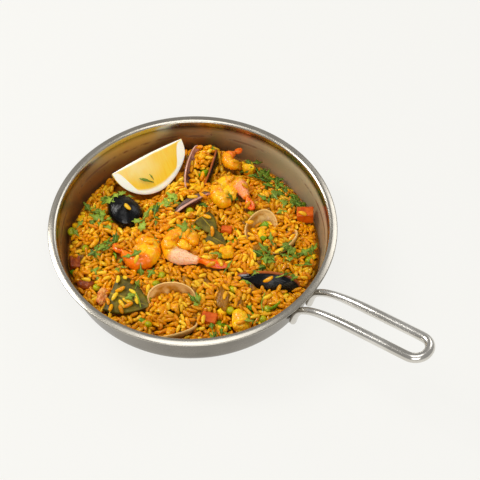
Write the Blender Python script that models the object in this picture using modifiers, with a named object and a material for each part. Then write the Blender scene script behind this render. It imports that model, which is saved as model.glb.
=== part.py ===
"""Seafood rice in a steel pan with a wire handle, with its toppings half sunk in the rice.

Metres, +Z up. The origin is the centre of the pan's flat base and the handle points along +X.
"""
import bmesh
import bpy
from math import cos, exp, hypot, pi, radians, sin, sqrt
from mathutils import Matrix, Vector, noise

MM = 0.001
TURN = 2 * pi

# ---- pan ----
LIP_RADIUS = 130 * MM
PAN_HEIGHT = 52 * MM
BASE_RADIUS = 100 * MM
CORNER_RADIUS = 18 * MM
WALL = 2.3 * MM
WALL_TOP = Vector((124 * MM, 45.5 * MM))      # outer wall, under the lip
CORNER_SWEEP = radians(78.5)
LIP_EDGE = 0.75 * MM                          # half the lip's thickness
LIP_DROP = 1.5 * MM
CORNER_STEPS = 3
PAN_STEPS = 56

# ---- handle ----
ROD_SPACING = 24 * MM
ROD_RADIUS_PAN = 3.3 * MM
ROD_RADIUS_GRIP = 4.3 * MM
GRIP_SWELL = 60 * MM                          # length over which the rod thickens
GRIP_STEPS = 14
END_TURNS = 8
LEG_FOOT = 22 * MM
LEG_TOP = 36 * MM
GRIP_START = 124 * MM
GRIP_RISE = 37.0 * MM
GRIP_END = 238 * MM                           # centre of the round end
STEEP_SLOPE = 1.5
GRIP_SLOPE = 0.165
BEND_LENGTH = 14.7 * MM

# ---- rice ----
RICE_STEPS = 30
RICE_TOP = 31 * MM
RICE_WALL_LEVEL = 22 * MM
RICE_WALL_LEAN = 4.5 * MM                     # fuller on the side away from the lemon
RICE_WALL_DIP = 2.5 * MM
RICE_FULL_SIDE = radians(-52)
RICE_DIP_SIDE = radians(83)
RICE_LUMP = 1.0 * MM
RICE_LUMP_SIZE = 14 * MM
RICE_SHOULDER = 3.2                           # how late the top falls away to the wall
RICE_SHARES = (1.0, 0.92, 0.78, 0.62, 0.44, 0.22)
SHELL_MOUND = (Vector((-54 * MM, 86 * MM)), 18 * MM, 11 * MM)   # centre, height, spread

GAP = 0.3 * MM
POCKET_GAP = 0.4 * MM
SEED = 7


# ---------------------------------------------------------------- helpers

def clear_scene():
    for old in list(bpy.data.objects):
        bpy.data.objects.remove(old, do_unlink=True)


def new_collection(name):
    collection = bpy.data.collections.new(name)
    bpy.context.scene.collection.children.link(collection)
    return collection


def principled(name, colour, roughness, metallic=0.0):
    material = bpy.data.materials.new(name)
    material.use_nodes = True
    shader = material.node_tree.nodes["Principled BSDF"]
    shader.inputs["Base Color"].default_value = (*colour, 1.0)
    shader.inputs["Roughness"].default_value = roughness
    shader.inputs["Metallic"].default_value = metallic
    return material


def add_object(name, mesh, collection, material=None):
    item = bpy.data.objects.new(name, mesh)
    collection.objects.link(item)
    if material:
        mesh.materials.append(material)
    return item


def mesh_from(name, bm):
    mesh = bpy.data.meshes.new(name)
    bm.normal_update()
    bmesh.ops.recalc_face_normals(bm, faces=bm.faces)
    bm.to_mesh(mesh)
    bm.free()
    mesh.shade_smooth()
    return mesh


def loft(name, start, rings, end):
    """A closed skin through rings of equal count, fanned to a point at each end."""
    bm = bmesh.new()
    first = bm.verts.new(start)
    rows = [[bm.verts.new(point) for point in ring] for ring in rings]
    last = bm.verts.new(end)
    count = len(rows[0])
    for k in range(count):
        after = (k + 1) % count
        bm.faces.new((first, rows[0][after], rows[0][k]))
        for low, high in zip(rows, rows[1:]):
            bm.faces.new((low[k], low[after], high[after]))
            bm.faces.new((low[k], high[after], high[k]))
        bm.faces.new((last, rows[-1][k], rows[-1][after]))
    return mesh_from(name, bm)


def axes_at(place, along, up):
    """A frame at place, its X along one direction and its Z as near up as it can be."""
    x_axis = Vector(along).normalized()
    y_axis = Vector(up).cross(x_axis).normalized()
    z_axis = x_axis.cross(y_axis)
    turn = Matrix((x_axis, y_axis, z_axis)).transposed().to_4x4()
    return Matrix.Translation(Vector(place) * MM) @ turn


def smooth(t):
    t = min(max(t, 0.0), 1.0)
    return t * t * (3 - 2 * t)


def lump(point, size, seed=0.0):
    """A smooth uneven value from -1 to 1."""
    offset = Vector((SEED, seed, -seed))
    return noise.noise(Vector(point) / size + offset)


# ---------------------------------------------------------------- pan

def pan_wall_outer(height):
    """The outer wall's radius at a height above the rounded corner."""
    low = corner_point(CORNER_RADIUS, CORNER_SWEEP)
    share = (height - low.y) / (WALL_TOP.y - low.y)
    return low.x + (WALL_TOP.x - low.x) * share


def corner_point(radius, angle):
    centre = Vector((BASE_RADIUS, CORNER_RADIUS))
    return centre + radius * Vector((sin(angle), -cos(angle)))


def pan_inner_profile(gap=0.0):
    """Points from the floor's edge up the inner wall, drawn in by a gap."""
    radius = CORNER_RADIUS - WALL - gap
    corner = [corner_point(radius, CORNER_SWEEP * k / CORNER_STEPS) for k in range(CORNER_STEPS + 1)]
    lean = Vector((cos(CORNER_SWEEP), sin(CORNER_SWEEP)))
    outward = Vector((lean.y, -lean.x))
    return corner, WALL_TOP - outward * (WALL + gap)


def pan_profile():
    """The turned outline: out over the floor, up inside, over the lip and down outside."""
    corner, inner_top = pan_inner_profile()
    lip_top = PAN_HEIGHT
    lip_low = lip_top - LIP_DROP
    outline = [Vector((0.0, WALL))] + corner + [inner_top]
    outline.append(Vector((inner_top.x + 0.7 * MM, lip_top - 1.6 * MM)))
    outline.append(Vector((inner_top.x + 2.2 * MM, lip_top - 0.3 * MM)))
    outline.append(Vector((inner_top.x + 4.0 * MM, lip_top)))
    outline.append(Vector((LIP_RADIUS - LIP_EDGE, lip_low + LIP_EDGE)))
    outline.append(Vector((LIP_RADIUS, lip_low)))
    outline.append(Vector((LIP_RADIUS - LIP_EDGE, lip_low - LIP_EDGE)))
    outline.append(Vector((WALL_TOP.x + 2.0 * MM, lip_low - 1.5 * MM)))
    outline.append(Vector((WALL_TOP.x + 0.4 * MM, lip_low - 3.0 * MM)))
    outline.append(WALL_TOP)
    for k in range(CORNER_STEPS, -1, -1):
        outline.append(corner_point(CORNER_RADIUS, CORNER_SWEEP * k / CORNER_STEPS))
    outline.append(Vector((0.0, 0.0)))
    return outline


def make_pan(collection):
    steel = principled("pan_steel", (0.62, 0.60, 0.57), 0.28, 1.0)
    bm = bmesh.new()
    points = [bm.verts.new((point.x, 0, point.y)) for point in pan_profile()]
    for low, high in zip(points, points[1:]):
        bm.edges.new((low, high))
    mesh = bpy.data.meshes.new("pan")
    bm.to_mesh(mesh)
    bm.free()
    pan = add_object("pan", mesh, collection, steel)
    screw = pan.modifiers.new("turned", "SCREW")
    screw.axis = "Z"
    screw.angle = TURN
    screw.steps = PAN_STEPS
    screw.render_steps = PAN_STEPS
    screw.use_merge_vertices = True
    screw.merge_threshold = 0.0001
    return pan


# ---------------------------------------------------------------- handle

def grip_height(along):
    """The rod centre's height: steep by the pan, then a long gentle rise."""
    run = along - GRIP_START
    steep = (STEEP_SLOPE - GRIP_SLOPE) * BEND_LENGTH * (1 - exp(-run / BEND_LENGTH))
    return GRIP_RISE + GRIP_SLOPE * run + steep


def leg_along(height):
    """Where a leg's centre stands so that it lies on the outer wall."""
    wall = pan_wall_outer(height) + ROD_RADIUS_PAN + GAP
    return sqrt(wall * wall - (ROD_SPACING / 2) ** 2)


def handle_half():
    """One rod's centre and radius, from the leg's foot to the start of the round end."""
    side = ROD_SPACING / 2
    points = []
    for k in range(4):
        height = LEG_FOOT + (LEG_TOP - LEG_FOOT) * k / 3
        points.append((leg_along(height), side, height, ROD_RADIUS_PAN))
    first = GRIP_START + 4 * MM
    for k in range(GRIP_STEPS + 1):
        along = first + (GRIP_END - first) * (k / GRIP_STEPS) ** 1.6
        swell = smooth((along - first) / GRIP_SWELL)
        radius = ROD_RADIUS_PAN + (ROD_RADIUS_GRIP - ROD_RADIUS_PAN) * swell
        points.append((along, side, grip_height(along), radius))
    return points


def make_handle(collection):
    """One bent rod: two legs on the wall, two parallel sides and a round end."""
    steel = principled("handle_steel", (0.66, 0.65, 0.63), 0.25, 1.0)
    near = handle_half()
    end = []
    for k in range(1, END_TURNS):
        angle = pi / 2 - pi * k / END_TURNS
        along = GRIP_END + ROD_SPACING / 2 * cos(angle)
        end.append((along, ROD_SPACING / 2 * sin(angle), grip_height(along), ROD_RADIUS_GRIP))
    far = [(x, -y, z, r) for x, y, z, r in reversed(near)]
    route = near + end + far
    curve = bpy.data.curves.new("handle", "CURVE")
    curve.dimensions = "3D"
    curve.bevel_depth = 1.0
    curve.bevel_resolution = 2
    curve.use_fill_caps = True
    curve.twist_mode = "Z_UP"
    spline = curve.splines.new("POLY")
    spline.points.add(len(route) - 1)
    for point, (x, y, z, radius) in zip(spline.points, route):
        point.co = (x, y, z, 1)
        point.radius = radius
    curve.materials.append(steel)
    handle = bpy.data.objects.new("handle", curve)
    collection.objects.link(handle)
    return handle


# ---------------------------------------------------------------- rice

def rice_wall_level(angle):
    off_dip = (angle - RICE_DIP_SIDE + pi) % TURN - pi
    dip = RICE_WALL_DIP * exp(-(off_dip / radians(35)) ** 2)
    return RICE_WALL_LEVEL + RICE_WALL_LEAN * cos(angle - RICE_FULL_SIDE) - dip


def rice_height(x, y, angle, share):
    """The heap's surface: share is 0 at the middle and 1 at the wall."""
    level = rice_wall_level(angle)
    height = level + (RICE_TOP - level) * (1 - share ** RICE_SHOULDER)
    centre, rise, spread = SHELL_MOUND
    apart = hypot(x - centre.x, y - centre.y)
    mound = rise * exp(-(apart / spread) ** 2 / 2)
    uneven = RICE_LUMP * lump((x, y, 0), RICE_LUMP_SIZE)
    return height + mound + uneven


def rice_wall_radius(height):
    corner, top = pan_inner_profile(GAP)
    low = corner[-1]
    facet = cos(pi / PAN_STEPS)
    return (low.x + (top.x - low.x) * (height - low.y) / (top.y - low.y)) * facet


def make_rice(collection):
    """One heap that fills the pan to its uneven top."""
    material = principled("rice", (0.75, 0.36, 0.03), 0.45)
    corner, _ = pan_inner_profile(GAP)
    facet = cos(pi / PAN_STEPS)
    angles = [TURN * k / RICE_STEPS for k in range(RICE_STEPS)]
    rings = []
    for point in corner:
        radius = point.x * facet
        rings.append([(radius * cos(a), radius * sin(a), point.y) for a in angles])
    for share in RICE_SHARES:
        ring = []
        for a in angles:
            level = rice_wall_level(a)
            radius = rice_wall_radius(level - 1 * MM) * share
            x, y = radius * cos(a), radius * sin(a)
            ring.append((x, y, rice_height(x, y, a, share)))
        rings.append(ring)
    middle = (0, 0, rice_height(0, 0, 0, 0))
    mesh = loft("rice_bed", (0, 0, corner[0].y), rings, middle)
    return add_object("rice_bed", mesh, collection, material)


# ---------------------------------------------------------------- lemon

LEMON_LEFT = Vector((-96.2, 0.7, 50)) * MM
LEMON_RIGHT = Vector((-72.2, 71.2, 52)) * MM
LEMON_RADIUS = 37 * MM
LEMON_FULL = 0.55                             # lower is fuller towards the tips
LEMON_SKEW = 0.9                              # below 1 is fuller at the left end
LEMON_FACE = radians(-48)                     # the front cut face's fall
LEMON_WEDGE = radians(70)
LEMON_BLUNT = 6 * MM
LEMON_BOW = 2.5 * MM                          # rise of the core edge's middle
LEMON_STATIONS = 11
LEMON_ARC = 5                                 # steps across the rind
LEMON_NOSE = 0.4 * MM                         # how far each tip stands past the core edge


def lemon_radius(share):
    """A lemon's outline from tip to tip, with a nub at its right end."""
    body = sin(pi * share ** LEMON_SKEW) ** LEMON_FULL
    return LEMON_RADIUS * body + LEMON_BLUNT * share ** 6


def make_lemon():
    """A wedge on its rind: its straight core edge on top and two cut faces below it."""
    axis = LEMON_RIGHT - LEMON_LEFT
    front = axis.cross(Vector((0, 0, 1))).normalized()
    down = front.cross(axis).normalized()
    if down.z > 0:
        down = -down
    rings = []
    for i in range(1, LEMON_STATIONS):
        share = 0.5 - 0.5 * cos(pi * i / LEMON_STATIONS)
        middle = LEMON_LEFT + axis * share - down * LEMON_BOW * sin(pi * share)
        radius = lemon_radius(share)
        ring = [middle]
        for k in range(LEMON_ARC + 1):
            angle = -LEMON_FACE + LEMON_WEDGE * k / LEMON_ARC
            ring.append(middle + radius * (front * cos(angle) + down * sin(angle)))
        rings.append(ring)
    nose = axis.normalized() * LEMON_NOSE
    return loft("lemon_wedge", LEMON_LEFT - nose, rings, LEMON_RIGHT + nose)


# ---------------------------------------------------------------- shrimp

SHRIMP_SECTIONS = 12
SHRIMP_SIDES = 7
CURL_CLOSING = 0.3                            # how far the curl's radius shrinks by the head end
CURL_LENGTH = 1 - CURL_CLOSING / 2            # its length as a share of a full circle's arc
TAIL_FAN = 0.6                                # the fan's share of the straight tail


def shrimp_route(shape, share):
    """A point on the curl and its heading: straight tail first, then the turning body."""
    radius, start, sweep, tail = shape
    hand = 1 if sweep > 0 else -1
    body = abs(sweep) * radius * CURL_LENGTH
    distance = share * (tail + body)
    heading = start + hand * pi / 2
    if distance < tail:
        back = distance - tail
        point = Vector((radius * cos(start), radius * sin(start), 0))
        point += Vector((cos(heading), sin(heading), 0)) * back
        return point, heading
    turned = (distance - tail) / body
    angle = start + sweep * turned
    reach = radius * (1 - CURL_CLOSING * turned)
    return Vector((reach * cos(angle), reach * sin(angle), 0)), angle + hand * pi / 2


def shrimp_section(share, tail_share, size):
    """Half width and half height of the body: a flat tail fan, a neck, then the full body."""
    fan = TAIL_FAN * tail_share
    if share < fan:
        t = share / fan
        return size * (0.22 + 0.42 * sin(pi * min(t * 1.15, 1)) ** 0.8), size * (0.2 + 0.3 * t)
    t = (share - fan) / (1 - fan)
    swell = 0.5 + 0.5 * smooth(t / 0.25)
    neck = smooth((1 - t) / 0.12)
    return size * swell * (0.55 + 0.45 * neck), size * swell * (0.6 + 0.4 * neck)


def make_shrimp(name, place, shape, size, along=(1, 0, 0), up=(0, 0, 1)):
    """A curled shrimp: shape is the curl's radius, start angle, sweep and tail length."""
    radius, start, sweep, tail = shape
    shape = (radius * MM, radians(start), radians(sweep), tail * MM)
    frame = axes_at(place, along, up)
    body = abs(shape[2]) * shape[0] * CURL_LENGTH
    tail_share = shape[3] / (shape[3] + body)
    rings = []
    for i in range(SHRIMP_SECTIONS):
        share = (i + 0.35) / (SHRIMP_SECTIONS - 0.3)
        point, heading = shrimp_route(shape, share)
        wide, tall = shrimp_section(share, tail_share, size * MM)
        across = Vector((-sin(heading), cos(heading), 0))
        ring = []
        for k in range(SHRIMP_SIDES):
            angle = TURN * k / SHRIMP_SIDES
            spot = point + across * wide * cos(angle)
            spot.z += tall * sin(angle)
            ring.append(frame @ spot)
        rings.append(ring)
    first, _ = shrimp_route(shape, 0)
    last, _ = shrimp_route(shape, 1)
    return loft(name, frame @ first, rings, frame @ last)


# ---------------------------------------------------------------- shells

SHELL_SIDES = 12
SHELL_SHARES = (0.45, 0.82)


def shell_outline(angle, length, width, pinch):
    """A valve's rim, narrower towards the hinge end at -X."""
    x = length / 2 * cos(angle)
    y = width / 2 * sin(angle) * (1 + pinch * cos(angle))
    return x, y


def shell_ring(frame, size, share, shrink, drop):
    """One ring of a valve's dome: share is 0 at the top of the dome and 1 at the rim."""
    length, width, depth, pinch = size
    ring = []
    for k in range(SHELL_SIDES):
        x, y = shell_outline(TURN * k / SHELL_SIDES, length - shrink, width - shrink, pinch)
        lift = (depth - drop) * sqrt(max(1 - share ** 2.2, 0))
        ring.append(frame @ Vector((x * share, y * share, lift)))
    return ring


def make_valve(name, place, along, up, size, thick=1.8):
    """One half of a shell: a thin dome, its hollow side away from up."""
    size = (size[0] * MM, size[1] * MM, size[2] * MM, size[3])
    frame = axes_at(place, along, up)
    thick = thick * MM
    rings = [shell_ring(frame, size, share, 0, 0) for share in SHELL_SHARES]
    rings.append(shell_ring(frame, size, 1, 0, 0))
    rings.append(shell_ring(frame, size, 1, 2 * thick, thick))
    rings += [shell_ring(frame, size, share, 2 * thick, thick) for share in reversed(SHELL_SHARES)]
    top = frame @ Vector((0, 0, size[2]))
    inside = frame @ Vector((0, 0, size[2] - thick))
    return loft(name, top, rings, inside)


def make_shut_mussel(name, place, along, up, size):
    """A whole shell seen from outside: a domed top over a shallower underside."""
    size = (size[0] * MM, size[1] * MM, size[2] * MM, size[3])
    under = (size[0], size[1], -0.6 * size[2], size[3])
    frame = axes_at(place, along, up)
    rings = [shell_ring(frame, size, share, 0, 0) for share in SHELL_SHARES]
    rings.append(shell_ring(frame, size, 1, 0, 0))
    rings += [shell_ring(frame, under, share, 0, 0) for share in reversed(SHELL_SHARES)]
    return loft(name, frame @ Vector((0, 0, size[2])), rings, frame @ Vector((0, 0, under[2])))


# ---------------------------------------------------------------- leaves, dice and chunks

LEAF_STATIONS = 7
STRIP_SECTIONS = 9
STRIP_SIDES = 6


def make_leaf(name, place, along, up, size, cut, bow):
    """A stiff leaf: long and wide, cut straight at its near end, bowed along its rib."""
    length, width, thick = (value * MM for value in size)
    frame = axes_at(place, along, up)
    rings = []
    for i in range(LEAF_STATIONS):
        share = i / (LEAF_STATIONS - 1) * 0.97
        grown = cut + (1 - cut) * share
        half = width / 2 * sin(pi * grown ** 0.9) ** 0.8 + 0.4 * MM
        x = length * (share - 0.5)
        rise = bow * MM * (1 - (2 * share - 1) ** 2)
        fold = 0.08 * half
        ring = []
        for side, level in ((-1, 0), (-0.4, 1), (0.4, 1), (1, 0), (0.4, -1), (-0.4, -1)):
            z = rise + fold * abs(side) + level * thick / 2
            ring.append(frame @ Vector((x, half * side, z)))
        rings.append(ring)
    first = frame @ Vector((-length / 2 - 0.2 * MM, 0, 0))
    last = frame @ Vector((length / 2, 0, 0))
    return loft(name, first, rings, last)


def make_dice(name, place, along, up, size, bevel=1.2):
    """A cut block with softened edges, its faces a little out of square."""
    bm = bmesh.new()
    bmesh.ops.create_cube(bm, size=1)
    for vert in bm.verts:
        vert.co += Vector([0.1 * lump(vert.co * 9 + Vector(place), 1.7, k) for k in range(3)])
        vert.co = Vector([axis * length * MM for axis, length in zip(vert.co, size)])
    bmesh.ops.bevel(bm, geom=list(bm.edges), offset=bevel * MM, segments=1, affect="EDGES")
    bm.transform(axes_at(place, along, up))
    return mesh_from(name, bm)


def make_chunk(name, place, along, up, size, rough=0.16):
    """An uneven cooked lump."""
    bm = bmesh.new()
    bmesh.ops.create_icosphere(bm, subdivisions=2, radius=0.5)
    for vert in bm.verts:
        swell = 1 + rough * 2 * lump(vert.co * 3 + Vector(place), 1.3)
        square = max(abs(axis) for axis in vert.co) / 0.5
        vert.co *= swell * (1.12 - 0.12 * square)
        vert.co = Vector([axis * length * MM for axis, length in zip(vert.co, size)])
    bm.transform(axes_at(place, along, up))
    return mesh_from(name, bm)


def make_strip(name, place, along, up, radius, sweep, thick, tall):
    """A curled strip of squid, standing on its edge."""
    frame = axes_at(place, along, up)
    rings = []
    for i in range(STRIP_SECTIONS):
        t = i / (STRIP_SECTIONS - 1)
        angle = radians(sweep) * (t - 0.5)
        taper = 0.55 + 0.45 * sin(pi * t)
        ring = []
        for k in range(STRIP_SIDES):
            turn = TURN * k / STRIP_SIDES
            reach = (radius + thick / 2 * taper * cos(turn)) * MM
            z = tall / 2 * taper * sin(turn) * MM
            ring.append(frame @ Vector((reach * cos(angle), reach * sin(angle), z)))
        rings.append(ring)
    tips = []
    for t in (-0.5, 0.5):
        angle = radians(sweep) * t * 1.06
        tips.append(frame @ (Vector((cos(angle), sin(angle), 0)) * radius * MM))
    return loft(name, tips[0], rings, tips[1])


# ---------------------------------------------------------------- what lies on the rice

FAR = Vector((-0.616, 0.788, 0))              # level, from the near side to the far side
RIGHT = Vector((0.788, 0.616, 0))             # level, to the right of it


def leaning(angle):
    """Level FAR direction raised by an angle in degrees."""
    return FAR * cos(radians(angle)) + Vector((0, 0, sin(radians(angle))))


def lay_toppings():
    """Every topping's mesh with its material's name; places are in millimetres."""
    return [
        (make_lemon(), "lemon"),
        (make_shrimp("shrimp_1", (-27, -42, 33), (13.2, -100, 255, 22), 7.7), "shrimp"),
        (make_shrimp("shrimp_2", (-1, -13.5, 33.5), (13.4, -66, -255, 45), 7.8), "shrimp"),
        (make_shrimp("shrimp_3", (-5, 59, 33.5), (13.2, 60, 258, 26), 7.7), "shrimp"),
        (make_shrimp("shrimp_4", (-26.5, 92.5, 34), (6.5, 40, 190, 16), 5.4,
                     FAR, (0.5, -0.4, 0.8)), "shrimp"),
        (make_shut_mussel("mussel_1", (-72, -13.5, 28.5), (1, -0.3, -0.1), (0.15, 0.1, 1),
                          (39, 30, 10, 0.2)), "mussel"),
        (make_valve("mussel_2", (79.5, 6.5, 22), (0.88, 0.47, -0.06), (0.48, -0.85, 0.2),
                    (62, 29, 11, 0.3)), "mussel"),
        (make_valve("mussel_3_left", (-51.3, 64.3, 28), (0.47, -0.8, -0.38), (-0.7, -0.45, -0.55),
                    (50, 24, 6, 0.3)), "mussel"),
        (make_valve("mussel_3_right", (-41.5, 73.5, 27), (0.3, -0.9, -0.35), (0.85, 0.4, -0.3),
                    (44, 24, 6, 0.3)), "mussel"),
        (make_valve("mussel_4", (-27, 33, 25), (-0.25, -0.95, 0), (-0.9, 0.25, 0.3),
                    (44, 22, 8, 0.3)), "mussel"),
        (make_valve("clam_1_upper", (27.5, -64.5, 29), leaning(42), leaning(-48),
                    (33, 43, 9, 0.12)), "clam"),
        (make_valve("clam_1_lower", (46, -85, 26), (0.66, -0.45, 0.6), (0.5, -0.33, -0.8),
                    (31, 43, 9, 0.12)), "clam"),
        (make_valve("clam_2_upper", (41.5, 48.5, 29), (-0.8, -0.1, 0.52), (-0.55, 0.15, -0.82),
                    (30, 36, 8, 0.12)), "clam"),
        (make_valve("clam_2_lower", (63.5, 49, 26.5), (0.75, 0.03, 0.6), (0.6, 0, -0.75),
                    (30, 34, 8, 0.12)), "clam"),
        (make_leaf("bay_leaf_1", (-1.5, -87.5, 30.3), (0.96, 0.28, 0), (0.15, -0.2, 1),
                   (37, 36, 0.9), 0.36, 1.5), "leaf"),
        (make_leaf("bay_leaf_2", (2.5, 19.5, 31.5), (0.9, -0.25, -0.1), (0.2, -0.3, 1),
                   (23, 17, 0.9), 0.3, 1), "leaf"),
        (make_leaf("bay_leaf_3", (18, 12.5, 29.5), (0.95, 0.1, -0.1), (0.2, -0.5, 1),
                   (20, 14, 0.9), 0.3, 1), "leaf"),
        (make_dice("carrot_1", (62.5, 86.5, 27), RIGHT, (0, 0, 1), (15, 11, 12)), "carrot"),
        (make_dice("carrot_2", (66, -59, 28.5), (0.9, 0.4, 0), (0.2, 0, 1), (13.5, 10, 8)), "carrot"),
        (make_dice("carrot_3", (-70, -84, 23.5), (0.7, -0.7, 0), (0.3, 0, 1), (12, 9, 8)), "carrot"),
        (make_dice("pepper_1", (18, 26, 31), (0.8, 0.5, 0), (0, 0.2, 1), (10, 6, 5), 0.9), "pepper"),
        (make_chunk("chicken_1", (89, -45, 29), FAR, (0, 0, 1), (21, 15, 13)), "chicken"),
        (make_chunk("chicken_2", (34.4, 5, 32), RIGHT, (0, 0, 1), (13, 12, 11)), "chicken"),
        (make_chunk("chicken_3", (62, -34, 29), FAR, (0, 0, 1), (28, 12, 10)), "chicken"),
        (make_chunk("chicken_4", (-13, 98, 27), RIGHT, (0, 0, 1), (12, 12, 11)), "chicken"),
        (make_strip("squid_1", (-78, -60, 28), (0.9, 0.5, 0), (0, 0, 1), 10, 100, 5, 6), "squid"),
        (make_strip("squid_2", (-62, -46, 30), (0.2, 1, 0), (0, 0, 1), 6, 110, 5, 5), "squid"),
        (make_chunk("tentacle", (-25, -98, 26.5), (0.5, -0.8, 0), (0, 0, 1), (17, 9, 8), 0.25), "squid"),
        (make_chunk("sausage", (-46, -96, 24.5), RIGHT, (0, 0, 1), (15, 9, 7), 0.1), "sausage"),
    ]


TOPPING_FINISH = {
    "lemon": ((0.95, 0.66, 0.16), 0.35),
    "shrimp": ((0.93, 0.40, 0.04), 0.35),
    "mussel": ((0.02, 0.02, 0.025), 0.2),
    "clam": ((0.62, 0.47, 0.24), 0.35),
    "leaf": ((0.13, 0.13, 0.02), 0.45),
    "carrot": ((0.75, 0.20, 0.02), 0.4),
    "pepper": ((0.70, 0.10, 0.01), 0.35),
    "chicken": ((0.85, 0.47, 0.05), 0.5),
    "squid": ((0.85, 0.50, 0.12), 0.4),
    "sausage": ((0.35, 0.09, 0.03), 0.5),
}


def pocket_cutter(source, cutters):
    """A hidden copy, swollen by the pocket's gap."""
    mesh = source.data.copy()
    bm = bmesh.new()
    bm.from_mesh(mesh)
    bm.normal_update()
    spots = [vert.co + vert.normal * POCKET_GAP for vert in bm.verts]
    for vert, spot in zip(bm.verts, spots):
        vert.co = spot
    bm.to_mesh(mesh)
    bm.free()
    mesh.materials.clear()
    cutter = add_object(source.name + "_pocket", mesh, cutters)
    cutter.hide_render = True
    cutter.display_type = "WIRE"
    return cutter


def cut(target, cutter):
    boolean = target.modifiers.new(cutter.name, "BOOLEAN")
    boolean.operation = "DIFFERENCE"
    boolean.object = cutter


def main():
    clear_scene()
    dish = new_collection("paella")
    cutters = new_collection("cutters")
    make_pan(dish)
    make_handle(dish)
    rice = make_rice(dish)
    finishes = {name: principled(name, *finish) for name, finish in TOPPING_FINISH.items()}
    for mesh, finish in lay_toppings():
        topping = add_object(mesh.name, mesh, dish, finishes[finish])
        cut(rice, pocket_cutter(topping, cutters))


main()
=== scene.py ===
from math import atan, cos, exp, hypot, pi, radians, sin, sqrt

import bmesh
import bpy
import numpy as np
from mathutils import Euler, Matrix, Vector, noise
from mathutils.bvhtree import BVHTree


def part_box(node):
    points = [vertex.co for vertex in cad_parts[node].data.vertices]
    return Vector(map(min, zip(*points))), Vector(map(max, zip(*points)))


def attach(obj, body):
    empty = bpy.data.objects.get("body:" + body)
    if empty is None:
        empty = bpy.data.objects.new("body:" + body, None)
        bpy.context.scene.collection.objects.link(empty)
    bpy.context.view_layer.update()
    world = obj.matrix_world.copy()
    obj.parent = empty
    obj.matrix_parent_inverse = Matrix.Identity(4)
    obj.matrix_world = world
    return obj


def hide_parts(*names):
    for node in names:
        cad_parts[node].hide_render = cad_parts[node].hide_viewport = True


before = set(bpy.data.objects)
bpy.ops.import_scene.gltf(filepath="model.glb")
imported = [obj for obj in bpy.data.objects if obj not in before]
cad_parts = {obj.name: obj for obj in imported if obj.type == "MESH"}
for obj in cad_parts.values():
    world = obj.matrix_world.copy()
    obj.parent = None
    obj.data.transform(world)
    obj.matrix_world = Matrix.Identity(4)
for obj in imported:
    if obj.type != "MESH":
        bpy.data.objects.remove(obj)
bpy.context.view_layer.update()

MM = 0.001
TURN = 2 * pi
SEED = 7
UP = (0, 0, 1)
FAR = Vector((-0.616, 0.788, 0))              # across the dish, away from the viewer
RIGHT = Vector((0.788, 0.616, 0))

# ---- pan, as in the frame ----
PAN_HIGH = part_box("pan")[1]
LIP_RADIUS = PAN_HIGH.x
PAN_HEIGHT = PAN_HIGH.z
BASE_RADIUS = 100 * MM
CORNER_RADIUS = 18 * MM
CORNER_SWEEP = radians(78.5)
WALL = 2.3 * MM
WALL_TOP = Vector((124 * MM, 45.5 * MM))
LIP_DROP = 1.5 * MM
LIP_EDGE = 0.75 * MM
PAN_STEPS = 192

# ---- handle ----
ROD_SIDE = 12 * MM                            # half the distance between the two rods
ROD_RADIUS_PAN = 3.3 * MM
ROD_RADIUS_GRIP = 4.3 * MM
LEG_FOOT = 22 * MM
LEG_TOP = 36 * MM
GRIP_START = 124 * MM
GRIP_RISE = 37 * MM
GRIP_END = 238 * MM
STEEP_SLOPE = 1.5
GRIP_SLOPE = 0.165
BEND_LENGTH = 14.7 * MM

# ---- rice ----
CELL = 0.5 * MM                               # spacing of the height maps
REACH = 122 * MM                              # half the width of the maps
GRAIN = (4.8 * MM, 1.95 * MM, 1.8 * MM)       # half length, half width, half height
GRAIN_LIMIT = 5200
CORE_DEPTH = 5.6 * MM                         # how far the solid core lies below the rice's top
CLUMP = 1.6 * MM                              # how far clumps of grains rise and fall
FILL_SHORT = 1.7 * MM                         # how far below its level the rice counts as full
TOPPING_DIP = 1.8 * MM                        # how far the grains stop short around a topping
SPREAD_RADIUS = 112 * MM                      # small things stay within this of the pan's middle
EDGE_RADIUS = 114 * MM                        # the maps hold food out to here

# ---- view ----
VIEW_TURN = radians(38)
VIEW_RISE = radians(52.92)
VIEW_PLACE = Vector((42.4 * MM, 16.7 * MM, 1400 * MM))    # right, up and back from the pan's centre
LENS = 113.5


# ======== meshes

def clamp(value, low, high):
    return min(max(value, low), high)


def smooth(t):
    t = clamp(t, 0.0, 1.0)
    return t * t * (3 - 2 * t)


def lump(point, size, seed=0.0):
    """A smooth uneven value from -1 to 1."""
    return noise.noise(Vector(point) / size + Vector((SEED, seed, -seed)))


def around(count):
    """Evenly spaced angles of a whole turn."""
    return [TURN * k / count for k in range(count)]


def turned_ring(radius, height, count):
    return [(radius * cos(angle), radius * sin(angle), height) for angle in around(count)]


def face_outward(mesh):
    bm = bmesh.new()
    bm.from_mesh(mesh)
    bm.normal_update()
    bmesh.ops.recalc_face_normals(bm, faces=bm.faces)
    bm.to_mesh(mesh)
    bm.free()
    mesh.shade_smooth()


def mark(mesh, name, values):
    """Stores one number for every vertex."""
    layer = mesh.attributes.new(name, "FLOAT", "POINT")
    layer.data.foreach_set("value", np.asarray(values, dtype=np.float32))


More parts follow.
